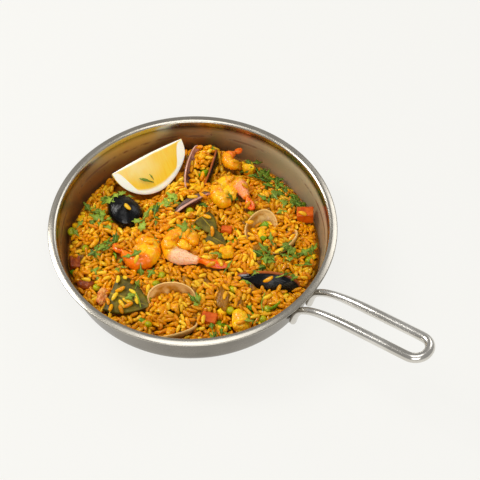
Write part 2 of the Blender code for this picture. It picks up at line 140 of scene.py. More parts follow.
def loft(name, start, rings, end, titles=(), rows=()):
    """A closed skin through rings of equal count, fanned to a point at each end.

    Each row holds one vertex's values of the titles, in the order start, rings, end.
    """
    count = len(rings[0])
    points = [start] + [point for ring in rings for point in ring] + [end]
    last = len(points) - 1
    top = last - count
    faces = []
    for k in range(count):
        after = (k + 1) % count
        faces.append((0, 1 + after, 1 + k))
        for low in range(1, top, count):
            faces.append((low + k, low + after, low + count + after, low + count + k))
        faces.append((last, top + k, top + after))
    mesh = bpy.data.meshes.new(name)
    mesh.from_pydata([tuple(point) for point in points], [], faces)
    face_outward(mesh)
    for title, values in zip(titles, zip(*rows)):
        mark(mesh, title, values)
    return mesh


def axes_at(place, along, up):
    """A frame at place (mm), its X along one direction and its Z as near up as it can be."""
    x_axis = Vector(along).normalized()
    y_axis = Vector(up).cross(x_axis).normalized()
    turn = Matrix((x_axis, y_axis, x_axis.cross(y_axis))).transposed().to_4x4()
    return Matrix.Translation(Vector(place) * MM) @ turn


def smooth_line(points, steps):
    """A curve through the points with a few steps between each pair."""
    ends = [2 * points[0] - points[1]] + list(points) + [2 * points[-1] - points[-2]]
    line = []
    for a, b, c, d in zip(ends, ends[1:], ends[2:], ends[3:]):
        for k in range(steps):
            t = k / steps
            line.append(0.5 * (2 * b + (c - a) * t + (2 * a - 5 * b + 4 * c - d) * t ** 2
                               + (3 * b - a - 3 * c + d) * t ** 3))
    return line + [points[-1]]


def add_piece(mesh, material, slot, *nodes):
    """Shows a mesh as a piece of the dish, standing for CAD nodes where it replaces them."""
    if material:
        mesh.materials.clear()
        mesh.materials.append(material)
    piece = bpy.data.objects.new(mesh.name, mesh)
    bpy.context.scene.collection.objects.link(piece)
    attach(piece, "root")
    if nodes:
        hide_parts(*nodes)


# ======== node tools

def rgb(red, green, blue):
    """A colour from its 0-255 display values."""
    return tuple(((value / 255 + 0.055) / 1.055) ** 2.4 for value in (red, green, blue)) + (1.0,)


def put(socket, value):
    """Links a wire to a socket, or sets the socket's own value."""
    if isinstance(value, Wire):
        socket.id_data.links.new(value.socket, socket)
    else:
        socket.default_value = value


def add_node(tree, kind, inputs, output=0, **settings):
    made = tree.nodes.new(kind)
    for name, value in settings.items():
        setattr(made, name, value)
    for name, value in inputs.items():
        put(made.inputs[name], value)
    return Wire(made.outputs[output])


def place_group(tree, group, **inputs):
    """Places a node group and returns its outputs by name."""
    made = tree.nodes.new("ShaderNodeGroup")
    made.node_tree = group
    for name, value in inputs.items():
        put(made.inputs[name], value)
    return {socket.name: Wire(socket) for socket in made.outputs}


def open_group(name, kind, inputs, outputs):
    """A node group: its tree, its incoming wires and the sockets of its results."""
    tree = bpy.data.node_groups.new(name, kind + "NodeTree")
    for in_out, sockets in (("INPUT", inputs), ("OUTPUT", outputs)):
        for title, socket_kind in sockets.items():
            tree.interface.new_socket(name=title, in_out=in_out, socket_type="NodeSocket" + socket_kind)
    given = tree.nodes.new("NodeGroupInput").outputs
    return tree, {title: Wire(given[title]) for title in inputs}, tree.nodes.new("NodeGroupOutput").inputs


class Wire:
    """A node's output that works like a number: its sums and products are new Math nodes."""

    def __init__(self, socket):
        self.socket = socket

    def into(self, kind, socket, inputs=None, output=0, **settings):
        """Leads this wire into a new node and returns one of that node's outputs."""
        return add_node(self.socket.id_data, kind, {socket: self, **(inputs or {})}, output, **settings)

    def maths(self, operation, *others, **settings):
        return self.into("ShaderNodeMath", 0, dict(enumerate(others, 1)), operation=operation, **settings)

    def __add__(self, other):
        return self.maths("ADD", other)

    def __sub__(self, other):
        return self.maths("SUBTRACT", other)

    def __rsub__(self, other):
        return self.maths("MULTIPLY_ADD", -1.0, other)

    def __mul__(self, other):
        return self.maths("MULTIPLY", other)

    def __abs__(self):
        return self.maths("ABSOLUTE")

    def reach(self, low, high, out_low=0.0, out_high=1.0):
        """Turns a range of values into another, held at its ends."""
        limits = {"From Min": low, "From Max": high, "To Min": out_low, "To Max": out_high}
        return self.into("ShaderNodeMapRange", "Value", limits, interpolation_type="SMOOTHSTEP")

    def mix(self, *colours):
        """Two colours, wires or 0-255 values, mixed by this value."""
        first, second = (colour if isinstance(colour, Wire) else rgb(*colour) for colour in colours)
        return self.into("ShaderNodeMix", 0, {6: first, 7: second}, 2, data_type="RGBA")

    def noise(self, scale, detail=3.0):
        inputs = {"Scale": scale, "Detail": detail, "Roughness": 0.55}
        return self.into("ShaderNodeTexNoise", "Vector", inputs, "Fac")

    def paired(self, other):
        """A vector of two numbers."""
        return self.into("ShaderNodeCombineXYZ", "X", {"Y": other})


# ======== shared effects

def make_mottle():
    """Cooked food's uneven colour: broad patches of two tones with fine specks of a third."""
    tree, given, result = open_group(
        "mottle", "Shader",
        {"Vector": "Vector", "Scale": "Float", "Low": "Color", "High": "Color", "Speck": "Color",
         "Amount": "Float"},
        {"Color": "Color"})
    broad = given["Vector"].noise(given["Scale"]).reach(0.36, 0.64)
    fine = given["Vector"].noise(given["Scale"] * 4.5, 2.0).reach(0.6, 0.7)
    colour = broad.mix(given["Low"], given["High"])
    put(result["Color"], (fine * given["Amount"]).mix(colour, given["Speck"]))
    return tree


def make_wet():
    """Oil and juice on a surface: smooth pools between drier parts, with a fine relief."""
    tree, given, result = open_group(
        "wet", "Shader", {"Vector": "Vector", "Scale": "Float", "Smooth": "Float", "Dry": "Float"},
        {"Roughness": "Float", "Film": "Float", "Height": "Float"})
    pools = given["Vector"].noise(given["Scale"], 2.0).reach(0.4, 0.6)
    put(result["Roughness"], pools * (given["Dry"] - given["Smooth"]) + given["Smooth"])
    put(result["Film"], 1.0 - pools)
    put(result["Height"], given["Vector"].noise(given["Scale"] * 3.0, 4.0))
    return tree


def make_spun():
    """Steel finished while it turns: fine rings about the Z axis, with faint smudges."""
    tree, given, result = open_group(
        "spun", "Shader", {"Vector": "Vector", "Fineness": "Float"},
        {"Height": "Float", "Smudge": "Float", "Level": "Float"})
    parts = given["Vector"].into("ShaderNodeSeparateXYZ", "Vector").socket.node.outputs
    x, y, level = (Wire(part) for part in parts)
    rings = (x * x + y * y).maths("SQRT").paired(level)
    put(result["Height"], rings.noise(given["Fineness"], 2.0))
    put(result["Smudge"], given["Vector"].noise(22.0, 4.0))
    put(result["Level"], level)
    return tree


MOTTLE = make_mottle()
WET = make_wet()
SPUN = make_spun()


# ======== materials

class Finish:
    """A material in the making: its Principled shader, fed by the shared effects."""

    def __init__(self, name, **plain):
        self.material = bpy.data.materials.new(name)
        self.material.use_nodes = True
        self.tree = self.material.node_tree
        self.place = add_node(self.tree, "ShaderNodeTexCoord", {}, "Object")
        self.feed(**plain)

    def feed(self, **values):
        """Sets or links the shader's inputs, named with _ for a space."""
        for title, value in values.items():
            put(self.tree.nodes["Principled BSDF"].inputs[title.replace("_", " ")], value)
        return self.material

    def marked(self, name):
        return add_node(self.tree, "ShaderNodeAttribute", {}, "Fac", attribute_name=name)

    def tones(self, scale, low, high, speck, amount):
        colours = {"Low": rgb(*low), "High": rgb(*high), "Speck": rgb(*speck)}
        return place_group(self.tree, MOTTLE, Vector=self.place, Scale=scale, Amount=amount,
                           **colours)["Color"]

    def wet(self, scale, smooth_to, dry, coat):
        """Gives the shader an oily film and returns the film's relief."""
        film = place_group(self.tree, WET, Vector=self.place, Scale=scale, Smooth=smooth_to, Dry=dry)
        self.feed(Roughness=film["Roughness"], Coat_Weight=film["Film"] * coat)
        return film["Height"]

    def relief(self, height, depth, strength):
        bump = {"Distance": depth * MM, "Strength": strength}
        self.feed(Normal=height.into("ShaderNodeBump", "Height", bump))

    def glow(self, weight, scale, radius=(1.0, 0.45, 0.12)):
        """Lets light through the surface."""
        self.feed(Subsurface_Weight=weight, Subsurface_Scale=scale * MM, Subsurface_Radius=radius)


def make_food(name, low, high, speck, scale, amount=0.3, smooth_to=0.22, relief=0.25, coat=0.25):
    """A moist cooked food: mottled, slightly see-through, with an oily film."""
    food = Finish(name, Coat_Roughness=0.12, Specular_IOR_Level=0.25)
    food.relief(food.wet(scale * 1.4, smooth_to, 0.5, coat), relief, 0.6)
    food.glow(0.25, 2.5)
    return food.feed(Base_Color=food.tones(scale, low, high, speck, amount))


def make_rice_finish():
    """Saffron rice: each grain has its own tone, with painted shade, darker and redder, on the grains that
    lie deep.
    """
    rice = Finish("rice_grain", Coat_Roughness=0.12, Specular_IOR_Level=0.22)
    tone = rice.marked("tone")
    broad = rice.place.noise(24.0, 2.0).reach(0.45, 0.62, 0.0, 0.4)
    colour = rice.tones(160.0, (228, 138, 0), (246, 170, 0), (204, 116, 0), 0.3)
    colour = tone.reach(0.62, 1.0).mix(colour, (255, 208, 44))
    colour = tone.reach(0.2, 0.0).mix(colour, (222, 134, 0))
    colour = broad.mix(colour, (196, 132, 0))
    # painted shade: grains lying deep below the rice's level are darkened towards brown
    colour = rice.marked("depth").reach(0.25, 1.0, 0.0, 0.6).mix(colour, (150, 92, 0))
    rice.relief(rice.wet(220.0, 0.2, 0.42, 0.22), 0.12, 0.4)
    rice.glow(0.18, 3, (1.0, 0.65, 0.08))
    return rice.feed(Base_Color=colour)


def make_lemon_finish():
    """A cut lemon: juicy flesh with fine radiating sacs, cream pith and a pored yellow rind, with a
    painted highlight on the flesh and a faint painted glow.
    """
    # the emission is painted light: the lemon glows faintly in its own colour
    lemon = Finish("lemon_flesh", Coat_Roughness=0.1, Specular_IOR_Level=0.3, Emission_Strength=0.1)
    out, along, skin = (lemon.marked(name) for name in ("out", "along", "skin"))
    centred = along - 0.5
    sacs = (centred * 26.0).paired(out).noise(2.2)
    flesh = sacs.reach(0.35, 0.7).mix((255, 200, 30), (255, 210, 52))
    # painted highlight: a pale patch on the flesh near the core edge, stronger towards the left end and
    # broken up by noise, stands for the wet shine
    highlight_breakup = lemon.place.noise(40.0, 2.0).reach(0.3, 0.6, 0.5, 1.0)
    pale = out.reach(0.85, 0.2) * highlight_breakup * along.reach(0.85, 0.1, 0.1, 0.75)
    flesh = pale.mix(flesh, (255, 240, 180))
    edge = out + (lemon.place.noise(70.0) - 0.5) * 0.06
    pith = (edge + abs(centred).reach(0.28, 0.46) * 0.75).reach(0.81, 0.9)
    white = pith.maths("MAXIMUM", edge.reach(0.085, 0.03))
    juicy = 1.0 - white
    pores = lemon.place.noise(900.0, 1.0).reach(0.35, 0.6)
    colour = skin.mix(white.mix(flesh, (255, 252, 232)), (255, 200, 2))
    lemon.relief(pores * skin + sacs * juicy, 0.3, 0.6)
    lemon.glow(0.35, 5, (1.0, 0.7, 0.2))
    return lemon.feed(Base_Color=colour, Emission_Color=colour, Coat_Weight=juicy * 0.4,
                      Roughness=white.reach(0.0, 1.0, 0.24, 0.55))


def make_shrimp_finish():
    """Shelled shrimp stained by saffron: a red streaked tail, a bare segment, a ridged body."""
    shrimp = Finish("shrimp_flesh", Coat_Roughness=0.12, Specular_IOR_Level=0.3)
    body = shrimp.tones(110.0, (255, 156, 4), (255, 194, 14), (255, 206, 50), 0.3)
    body = shrimp.marked("ridge").reach(0.3, 1.0, 0.0, 0.55).mix(body, (240, 104, 0))
    dots = shrimp.place.noise(900.0, 1.0).reach(0.56, 0.66, 0.0, 0.8)
    bare = shrimp.marked("rosy").mix((255, 126, 6), dots.mix((255, 204, 158), (236, 130, 70)))
    streaks = (shrimp.marked("side") * 9.0).paired(shrimp.marked("along") * 4.0).noise(2.0, 2.0)
    tail = shrimp.marked("tail")
    colour = shrimp.marked("bare").mix(body, bare)
    colour = tail.mix(colour, streaks.reach(0.4, 0.6).mix((236, 56, 0), (255, 140, 16)))
    shrimp.relief(shrimp.wet(160.0, 0.16, 0.36, 0.5) + streaks * tail, 0.3, 0.5)
    shrimp.glow(0.3, 3)
    return shrimp.feed(Base_Color=colour)


def make_shell_finish(name, outer, outer_dark, inner, inner_edge, ribs, smooth_to):
    """A shell: growth bands outside, a smooth stained lining inside and a pale lip."""
    shell = Finish(name, Coat_Roughness=0.06, Specular_IOR_Level=0.2)
    share, inside = shell.marked("share"), shell.marked("inside")
    bands = ((share + shell.place.noise(90.0, 2.0) * 0.12) * ribs).maths("SINE")
    lining = shell.tones(90.0, inner, inner_edge, inner, 0.4)
    lining = share.reach(0.8, 0.97, 0.0, 0.8).mix(lining, inner_edge)
    shell.wet(120.0, smooth_to, smooth_to + 0.16, 0.3)
    shell.relief(bands * (1.0 - inside), 0.12, 0.5)
    return shell.feed(Base_Color=inside.mix(bands.reach(-0.6, 0.9).mix(outer_dark, outer), lining))


def make_leaf_finish(name, green, dark, light, vein, vein_count, rough):
    """A leaf with a pale rib, slanting side veins and a leathery surface; its tone lightens it."""
    leaf = Finish(name, Coat_Roughness=0.2, Specular_IOR_Level=0.25)
    across = abs(leaf.marked("across"))
    wave = abs(((across * -0.28 + leaf.marked("along")) * vein_count).maths("SINE"))
    veins = across.reach(0.06, 0.03).maths("MAXIMUM", wave.reach(0.1, 0.02, 0.0, 0.5))
    blade = leaf.marked("tone").mix(leaf.tones(120.0, dark, green, vein, 0.12), light)
    leaf.relief(leaf.wet(150.0, rough, rough + 0.15, 0.12) * 0.4 + veins, 0.2, 0.5)
    return leaf.feed(Base_Color=veins.mix(blade, vein))


def make_pan_finish():
    """Spun steel, stained inside: a brown ring where the broth stood, splashes and an oily tint, with a
    painted sheen on the inner wall towards the rim, strongest on the right where the oily tint is weakened
    as painted light, and a painted highlight along the lip's top.
    """
    pan = Finish("pan_steel")
    place, inside = pan.place, pan.marked("inside")
    spun = place_group(pan.tree, SPUN, Vector=place, Fineness=2600.0)
    steel = spun["Smudge"].reach(0.35, 0.7).mix((106, 99, 88), (130, 123, 112))
    steel = (inside * 0.8).mix(steel, (206, 190, 150))
    # painted highlight: the top 2 mm of the lip are lightened
    steel = spun["Level"].reach(45.5 * MM, 47.5 * MM, 0.0, 0.85).mix(steel, (196, 190, 178))
    level = spun["Level"] + (place.noise(14.0) - 0.5) * (3 * MM)
    line = abs(level - 34.5 * MM).reach(1.9 * MM, 0.4 * MM)
    ring = line * place.noise(45.0, 4.0).reach(0.42, 0.56) * 0.85
    side = place.into("ShaderNodeVectorMath", 0, {1: tuple(RIGHT)}, "Value", operation="DOT_PRODUCT")
    # the pan's right side, made lighter as painted light: more painted sheen, less oily tint and less
    # metallic
    lit_side = side.reach(0.0, 100 * MM)
    oil = level.reach(46 * MM, 24 * MM, 0.3, 0.75) * (lit_side * -0.75 + 1.0)
    splash = place.noise(210.0, 2.0).reach(0.68, 0.74, 0.0, 0.7) * level.reach(46 * MM, 36 * MM)
    # painted sheen: the inner wall is lightened towards the rim, most on the right side
    sheen = level.reach(30 * MM, 47 * MM) * (lit_side * 0.55 + 0.25)
    steel = (sheen * inside).mix(steel, (238, 224, 188))
    steel = (oil * inside).mix(steel, (154, 106, 36))
    stain = ring.maths("MAXIMUM", splash) * inside
    dull = inside * (lit_side * -0.5 - 0.1) - stain * 0.8
    pan.relief(spun["Height"], 0.012, 0.25)
    return pan.feed(Base_Color=stain.mix(steel, (104, 56, 12)),
                    Roughness=spun["Smudge"].reach(0.3, 0.7, 0.2, 0.3) + inside * 0.2 + stain * 0.25,
                    Metallic=dull.maths("ADD", 1.0, use_clamp=True))


def make_rod_finish():
    """Drawn and polished steel rod with faint handling marks."""
    rod = Finish("handle_steel", Metallic=1.0)
    smudge = place_group(rod.tree, SPUN, Vector=rod.place, Fineness=300.0)["Smudge"]
    return rod.feed(Base_Color=smudge.reach(0.35, 0.7).mix((204, 200, 192), (226, 223, 217)),
                    Roughness=smudge.reach(0.3, 0.7, 0.17, 0.26))


RICE = make_rice_finish()
# the core's dark brown is painted shade: it shows in the gaps between the grains
SHADED_CORE = make_food("rice_core", (136, 82, 0), (184, 116, 0), (98, 60, 0), 120.0, 0.5, relief=0.8)
LEMON = make_lemon_finish()
SHRIMP = make_shrimp_finish()
MUSSEL = make_shell_finish("mussel_shell", (6, 7, 10), (1, 1, 2), (60, 56, 62), (196, 100, 36), 90, 0.05)
# painted highlight: the pale pink of this shell stands for the shine along the edges of mussel_3_left and
# mussel_4
HIGHLIT_MUSSEL = make_shell_finish("worn_mussel_shell", (128, 104, 104), (70, 52, 50), (150, 96, 70),
                                (232, 176, 150), 60, 0.1)
CLAM = make_shell_finish("clam_shell", (200, 158, 88), (146, 100, 40), (190, 122, 16), (250, 206, 128),
                         120, 0.22)
BAY = make_leaf_finish("bay_leaf", (112, 98, 0), (78, 68, 0), (124, 108, 0), (160, 136, 20), 22, 0.5)
PARSLEY = make_leaf_finish("parsley", (94, 126, 12), (42, 74, 2), (166, 188, 62), (146, 172, 66), 14, 0.45)
STEM = make_food("stem", (112, 146, 20), (150, 172, 50), (70, 110, 20), 200.0)
PEA = make_food("pea", (150, 158, 0), (186, 180, 4), (108, 126, 0), 140.0, 0.2, relief=0.3)
GREEN_PEPPER = make_food("green_pepper", (92, 140, 0), (140, 172, 6), (66, 104, 0), 120.0)
CARROT = make_food("carrot", (198, 78, 0), (216, 100, 2), (168, 60, 0), 140.0, 0.3, 0.35, coat=0.08)
PEPPER = make_food("pepper", (200, 72, 8), (222, 106, 26), (176, 50, 4), 140.0, 0.3, 0.3, coat=0.15)
CHICKEN = make_food("chicken", (246, 164, 0), (255, 202, 10), (220, 122, 0), 110.0, 0.35, relief=0.8)
CRUMB = make_food("crumb", (214, 124, 0), (246, 172, 0), (160, 84, 0), 150.0, 0.5, relief=1.0)
BROWN_CRUMB = make_food("brown_crumb", (134, 84, 0), (176, 118, 0), (90, 60, 0), 150.0, 0.5, relief=1.0)
SQUID = make_food("squid", (250, 164, 0), (255, 204, 40), (226, 124, 4), 130.0, 0.4)
TENTACLE = make_food("tentacle", (222, 112, 40), (246, 180, 100), (170, 60, 16), 260.0, 0.6)
SAUSAGE = make_food("sausage", (132, 48, 4), (172, 84, 10), (90, 30, 2), 180.0, 0.5)
PAN_STEEL = make_pan_finish()
ROD_STEEL = make_rod_finish()


# ======== geometry node trees

def stored(tree, name, kind):
    return add_node(tree, "GeometryNodeInputNamedAttribute", {"Name": name}, "Attribute", data_type=kind)


def make_scatter_tree():
    """One shape at every point, turned and sized by the points' own values."""
    tree, given, result = open_group(
        "scatter", "Geometry",
        {"Points": "Geometry", "Shape": "Object", "Size": "Float", "Finish": "Material"},
        {"Pieces": "Geometry"})
    size = stored(tree, "size", "FLOAT_VECTOR")
    settings = {"Instance": given["Shape"].into("GeometryNodeObjectInfo", "Object", output="Geometry"),
                "Rotation": stored(tree, "turn", "FLOAT_VECTOR"),
                "Scale": size.into("ShaderNodeVectorMath", 0, {"Scale": given["Size"]}, operation="SCALE")}
    points = given["Points"].into("GeometryNodeMeshToPoints", "Mesh")
    real = points.into("GeometryNodeInstanceOnPoints", "Points", settings).into(
        "GeometryNodeRealizeInstances", "Geometry")
    finished = real.into("GeometryNodeSetMaterial", "Geometry", {"Material": given["Finish"]})
    put(result["Pieces"], finished)
    return tree


def make_sweep_tree():
    """A round rod along an edge chain, as thick at each point as the chain says."""
    tree, given, result = open_group(
        "sweep", "Geometry", {"Route": "Geometry", "Sides": "Int", "Finish": "Material"},
        {"Rod": "Geometry"})
    thick = stored(tree, "thick", "FLOAT")
    line = given["Route"].into("GeometryNodeMeshToCurve", "Mesh")
    sized = line.into("GeometryNodeSetCurveRadius", "Curve", {"Radius": thick})
    ring = given["Sides"].into("GeometryNodeCurvePrimitiveCircle", "Resolution", {"Radius": 1.0})
    skin = sized.into("GeometryNodeCurveToMesh", "Curve", {"Profile Curve": ring, "Fill Caps": True})
    if "Scale" in skin.socket.node.inputs:
        put(skin.socket.node.inputs["Scale"], thick)
    finished = skin.into("GeometryNodeSetMaterial", "Geometry", {"Material": given["Finish"]})
    put(result["Rod"], finished)
    return tree


SCATTER = make_scatter_tree()
SWEEP = make_sweep_tree()


def grow(name, base, tree, inputs):
    """Runs a node tree on a base mesh and returns the plain mesh that it makes."""
    holder = bpy.data.objects.new(name + "_base", base)
    bpy.context.scene.collection.objects.link(holder)
    modifier = holder.modifiers.new("grown", "NODES")
    modifier.node_group = tree
    sockets = {item.name: item.identifier for item in tree.interface.items_tree if item.in_out == "INPUT"}
    for title, value in inputs.items():
        modifier[sockets[title]] = value
    depsgraph = bpy.context.evaluated_depsgraph_get()
    mesh = bpy.data.meshes.new_from_object(holder.evaluated_get(depsgraph),
                                           preserve_all_data_layers=True, depsgraph=depsgraph)
    mesh.name = name
    holder.modifiers.remove(modifier)
    bpy.data.objects.remove(holder, do_unlink=True)
    bm = bmesh.new()
    bm.from_mesh(mesh)
    bmesh.ops.remove_doubles(bm, verts=bm.verts, dist=1e-7)
    bm.to_mesh(mesh)
    bm.free()
    mesh.shade_smooth()
    return mesh


def scatter(name, spots, shape, finish, slot, size=1.0):
    """spots is a list of (place, turn, size, tone, depth); shape is the mesh set at each of them."""
    places, turns, sizes, tones, depths = zip(*spots)
    base = bpy.data.meshes.new(name)
    base.from_pydata(places, [], [])
    for title, vectors in (("turn", turns), ("size", sizes)):
        layer = base.attributes.new(title, "FLOAT_VECTOR", "POINT")
        layer.data.foreach_set("vector", np.array(vectors, dtype=np.float32).ravel())
    mark(base, "tone", tones)
    mark(base, "depth", depths)
    template = bpy.data.objects.new(name + "_shape", shape)
    bpy.context.scene.collection.objects.link(template)
    mesh = grow(name, base, SCATTER, {"Shape": template, "Size": size, "Finish": finish})
    bpy.data.objects.remove(template, do_unlink=True)
    add_piece(mesh, None, slot)


def sweep(name, route, sides, finish, slot, *nodes):
    """route is a list of (point, radius)."""
    points, radii = zip(*route)
    base = bpy.data.meshes.new(name)
    base.from_pydata([tuple(point) for point in points], [(k, k + 1) for k in range(len(route) - 1)], [])
    mark(base, "thick", radii)
    add_piece(grow(name, base, SWEEP, {"Sides": sides, "Finish": finish}), None, slot, *nodes)


# ======== pan

def corner_point(radius, angle):
    return Vector((BASE_RADIUS, CORNER_RADIUS)) + radius * Vector((sin(angle), -cos(angle)))


def pan_outline():
    """Points of the turned outline with 1 on the inside and 0 outside."""
    inner_top = WALL_TOP - Vector((sin(CORNER_SWEEP), -cos(CORNER_SWEEP))) * WALL
    low = PAN_HEIGHT - LIP_DROP
    bends = [CORNER_SWEEP * k / 10 for k in range(11)]
    inside = [Vector((BASE_RADIUS * k / 6, WALL)) for k in range(1, 6)]
    inside += [corner_point(CORNER_RADIUS - WALL, angle) for angle in bends]
    inside += [inside[-1].lerp(inner_top, k / 6) for k in range(1, 6)]
    lip = [inner_top, inner_top + Vector((0.7 * MM, 4.4 * MM)), inner_top + Vector((2.2 * MM, 5.7 * MM)),
           Vector((inner_top.x + 4 * MM, PAN_HEIGHT)), Vector((LIP_RADIUS - LIP_EDGE, low + LIP_EDGE)),
           Vector((LIP_RADIUS, low)), Vector((LIP_RADIUS - LIP_EDGE, low - LIP_EDGE)),
           Vector((WALL_TOP.x + 2 * MM, low - 1.5 * MM)), Vector((WALL_TOP.x + 0.4 * MM, low - 3 * MM)),
           WALL_TOP]
    outside = smooth_line(lip, 5)
    outside += [WALL_TOP.lerp(corner_point(CORNER_RADIUS, CORNER_SWEEP), k / 6) for k in range(1, 6)]
    outside += [corner_point(CORNER_RADIUS, angle) for angle in reversed(bends)]
    outside += [Vector((BASE_RADIUS * k / 6, 0)) for k in range(5, 0, -1)]
    return [(point, 1.0) for point in inside] + [(point, 0.0) for point in outside]


def build_pan():
    rings = []
    rows = [(1.0,)]
    for point, side in pan_outline():
        rings.append(turned_ring(point.x, point.y, PAN_STEPS))
        rows += [(side,)] * PAN_STEPS
    mesh = loft("pan_body", (0, 0, WALL), rings, (0, 0, 0), ["inside"], rows + [(0.0,)])
    add_piece(mesh, PAN_STEEL, "pan_steel", "pan")


# ======== handle

def grip_height(along):
    run = along - GRIP_START
    steep = (STEEP_SLOPE - GRIP_SLOPE) * BEND_LENGTH * (1 - exp(-run / BEND_LENGTH))
    return GRIP_RISE + GRIP_SLOPE * run + steep


def leg_along(height):
    low = corner_point(CORNER_RADIUS, CORNER_SWEEP)
    wall = low.x + (WALL_TOP.x - low.x) * (height - low.y) / (WALL_TOP.y - low.y)
    return sqrt((wall + ROD_RADIUS_PAN + 0.3 * MM) ** 2 - ROD_SIDE ** 2)


def handle_route():
    """The bent rod's centre and radius from one leg's foot round to the other's."""
    half = []
    for k in range(8):
        height = LEG_FOOT + (LEG_TOP - LEG_FOOT) * k / 7
        half.append((Vector((leg_along(height), ROD_SIDE, height)), ROD_RADIUS_PAN))
    first = GRIP_START + 4 * MM
    for k in range(45):
        along = first + (GRIP_END - first) * (k / 44) ** 1.4
        swell = smooth((along - first) / (60 * MM))
        radius = ROD_RADIUS_PAN + (ROD_RADIUS_GRIP - ROD_RADIUS_PAN) * swell
        half.append((Vector((along, ROD_SIDE, grip_height(along))), radius))
    end = []
    for k in range(1, 24):
        angle = pi / 2 - pi * k / 24
        along = GRIP_END + ROD_SIDE * cos(angle)
        end.append((Vector((along, ROD_SIDE * sin(angle), grip_height(along))), ROD_RADIUS_GRIP))
    far = [(Vector((point.x, -point.y, point.z)), radius) for point, radius in reversed(half)]
    return half + end + far


def dome(point, before, radius, steps):
    """The shrinking rings that close a rod at its end."""
    away = (point - before).normalized()
    angles = [pi / 2 * k / steps * 0.98 for k in range(1, steps + 1)]
    return [(point + away * radius * sin(angle), radius * cos(angle)) for angle in angles]


def round_ends(route, steps=5):
    before = dome(route[0][0], route[1][0], route[0][1], steps)
    after = dome(route[-1][0], route[-2][0], route[-1][1], steps)
    return before[::-1] + route + after


def build_handle():
    route = handle_route()
    for _ in range(3):
        eased = [((a + 2 * b + c) / 4, radius)
                 for (a, _), (b, radius), (c, _) in zip(route, route[1:], route[2:])]
        route = [route[0]] + eased + [route[-1]]
    sweep("handle_rod", round_ends(route), 24, ROD_STEEL, "handle_steel", "handle")


# ======== lemon

LEMON_LEFT = Vector((-96.2, 0.7, 50)) * MM
LEMON_RIGHT = Vector((-72.2, 71.2, 52)) * MM
LEMON_RADIUS = 37 * MM
LEMON_FULL = 0.55
LEMON_SKEW = 0.9
LEMON_FACE = radians(-48)
LEMON_WEDGE = radians(70)
LEMON_BLUNT = 6 * MM
LEMON_BOW = 2.5 * MM
LEMON_STATIONS = 56
LEMON_STEPS = 14


def lemon_section(share):
    """One cross-section as (angle, distance out, out, skin): a cut face, the rind, the other face."""
    first, last = -LEMON_FACE, -LEMON_FACE + LEMON_WEDGE
    section = []
    for k in range(LEMON_STEPS + 1):
        out = k / LEMON_STEPS
        swell = 0.012 * sin(pi * min(out * 1.1, 1)) * (1 + 0.5 * lump((share * 9, out, 0), 0.4))
        section.append((first - swell, out * 0.985, out, 0.0))
    for k in range(1, LEMON_STEPS):
        t = k / LEMON_STEPS
        edge = min(t, 1 - t)
        section.append((first + LEMON_WEDGE * t, 0.985 + 0.015 * min(1, 6 * edge), 1.0, smooth(5 * edge)))
    for k in range(LEMON_STEPS, 0, -1):
        section.append((last, k / LEMON_STEPS * 0.985, k / LEMON_STEPS, 0.0))
    return section


def build_lemon():
    """A wedge on its rind: two cut faces meet in its core edge on top."""
    axis = LEMON_RIGHT - LEMON_LEFT
    front = axis.cross(Vector(UP)).normalized()
    down = axis.cross(front).normalized()
    rings = []
    rows = [(0.0, 0.0, 1.0)]
    for i in range(1, LEMON_STATIONS):
        share = 0.5 - 0.5 * cos(pi * i / LEMON_STATIONS)
        middle = LEMON_LEFT + axis * share - down * LEMON_BOW * sin(pi * share)
        radius = LEMON_RADIUS * sin(pi * share ** LEMON_SKEW) ** LEMON_FULL + LEMON_BLUNT * share ** 6
        section = lemon_section(share)
        rings.append([middle + radius * distance * (front * cos(angle) + down * sin(angle))
                      for angle, distance, _, _ in section])
        rows += [(out, share, skin) for _, _, out, skin in section]
    nose = axis.normalized() * 0.4 * MM
    mesh = loft("lemon_piece", LEMON_LEFT - nose, rings, LEMON_RIGHT + nose, ("out", "along", "skin"),
                rows + [(0.0, 1.0, 1.0)])
    add_piece(mesh, LEMON, "lemon", "lemon_wedge")


# ======== shrimp

CURL_CLOSING = 0.3
CURL_LENGTH = 1 - CURL_CLOSING / 2
TAIL_FAN = 0.6
SHRIMP_SECTIONS = 84
SHRIMP_SIDES = 26
SHRIMP_PLATES = 6


def shrimp_route(shape, share):
    radius, start, sweep_angle, tail = shape
    hand = 1 if sweep_angle > 0 else -1
    body = abs(sweep_angle) * radius * CURL_LENGTH
    distance = share * (tail + body)
    if distance < tail:
        heading = start + hand * pi / 2
        point = Vector((radius * cos(start), radius * sin(start), 0))
        return point + Vector((cos(heading), sin(heading), 0)) * (distance - tail), heading
    turned = (distance - tail) / body
    angle = start + sweep_angle * turned
    away = radius * (1 - CURL_CLOSING * turned)
    return Vector((away * cos(angle), away * sin(angle), 0)), angle + hand * pi / 2


def shrimp_section(share, tail_share, size):
    fan = TAIL_FAN * tail_share
    if share < fan:
        t = share / fan
        return size * (0.22 + 0.42 * sin(pi * min(t * 1.15, 1)) ** 0.8), size * (0.2 + 0.3 * t)
    t = (share - fan) / (1 - fan)
    swell = 0.5 + 0.5 * smooth(t / 0.25)
    neck = smooth((1 - t) / 0.12)
    return size * swell * (0.55 + 0.45 * neck), size * swell * (0.6 + 0.4 * neck)


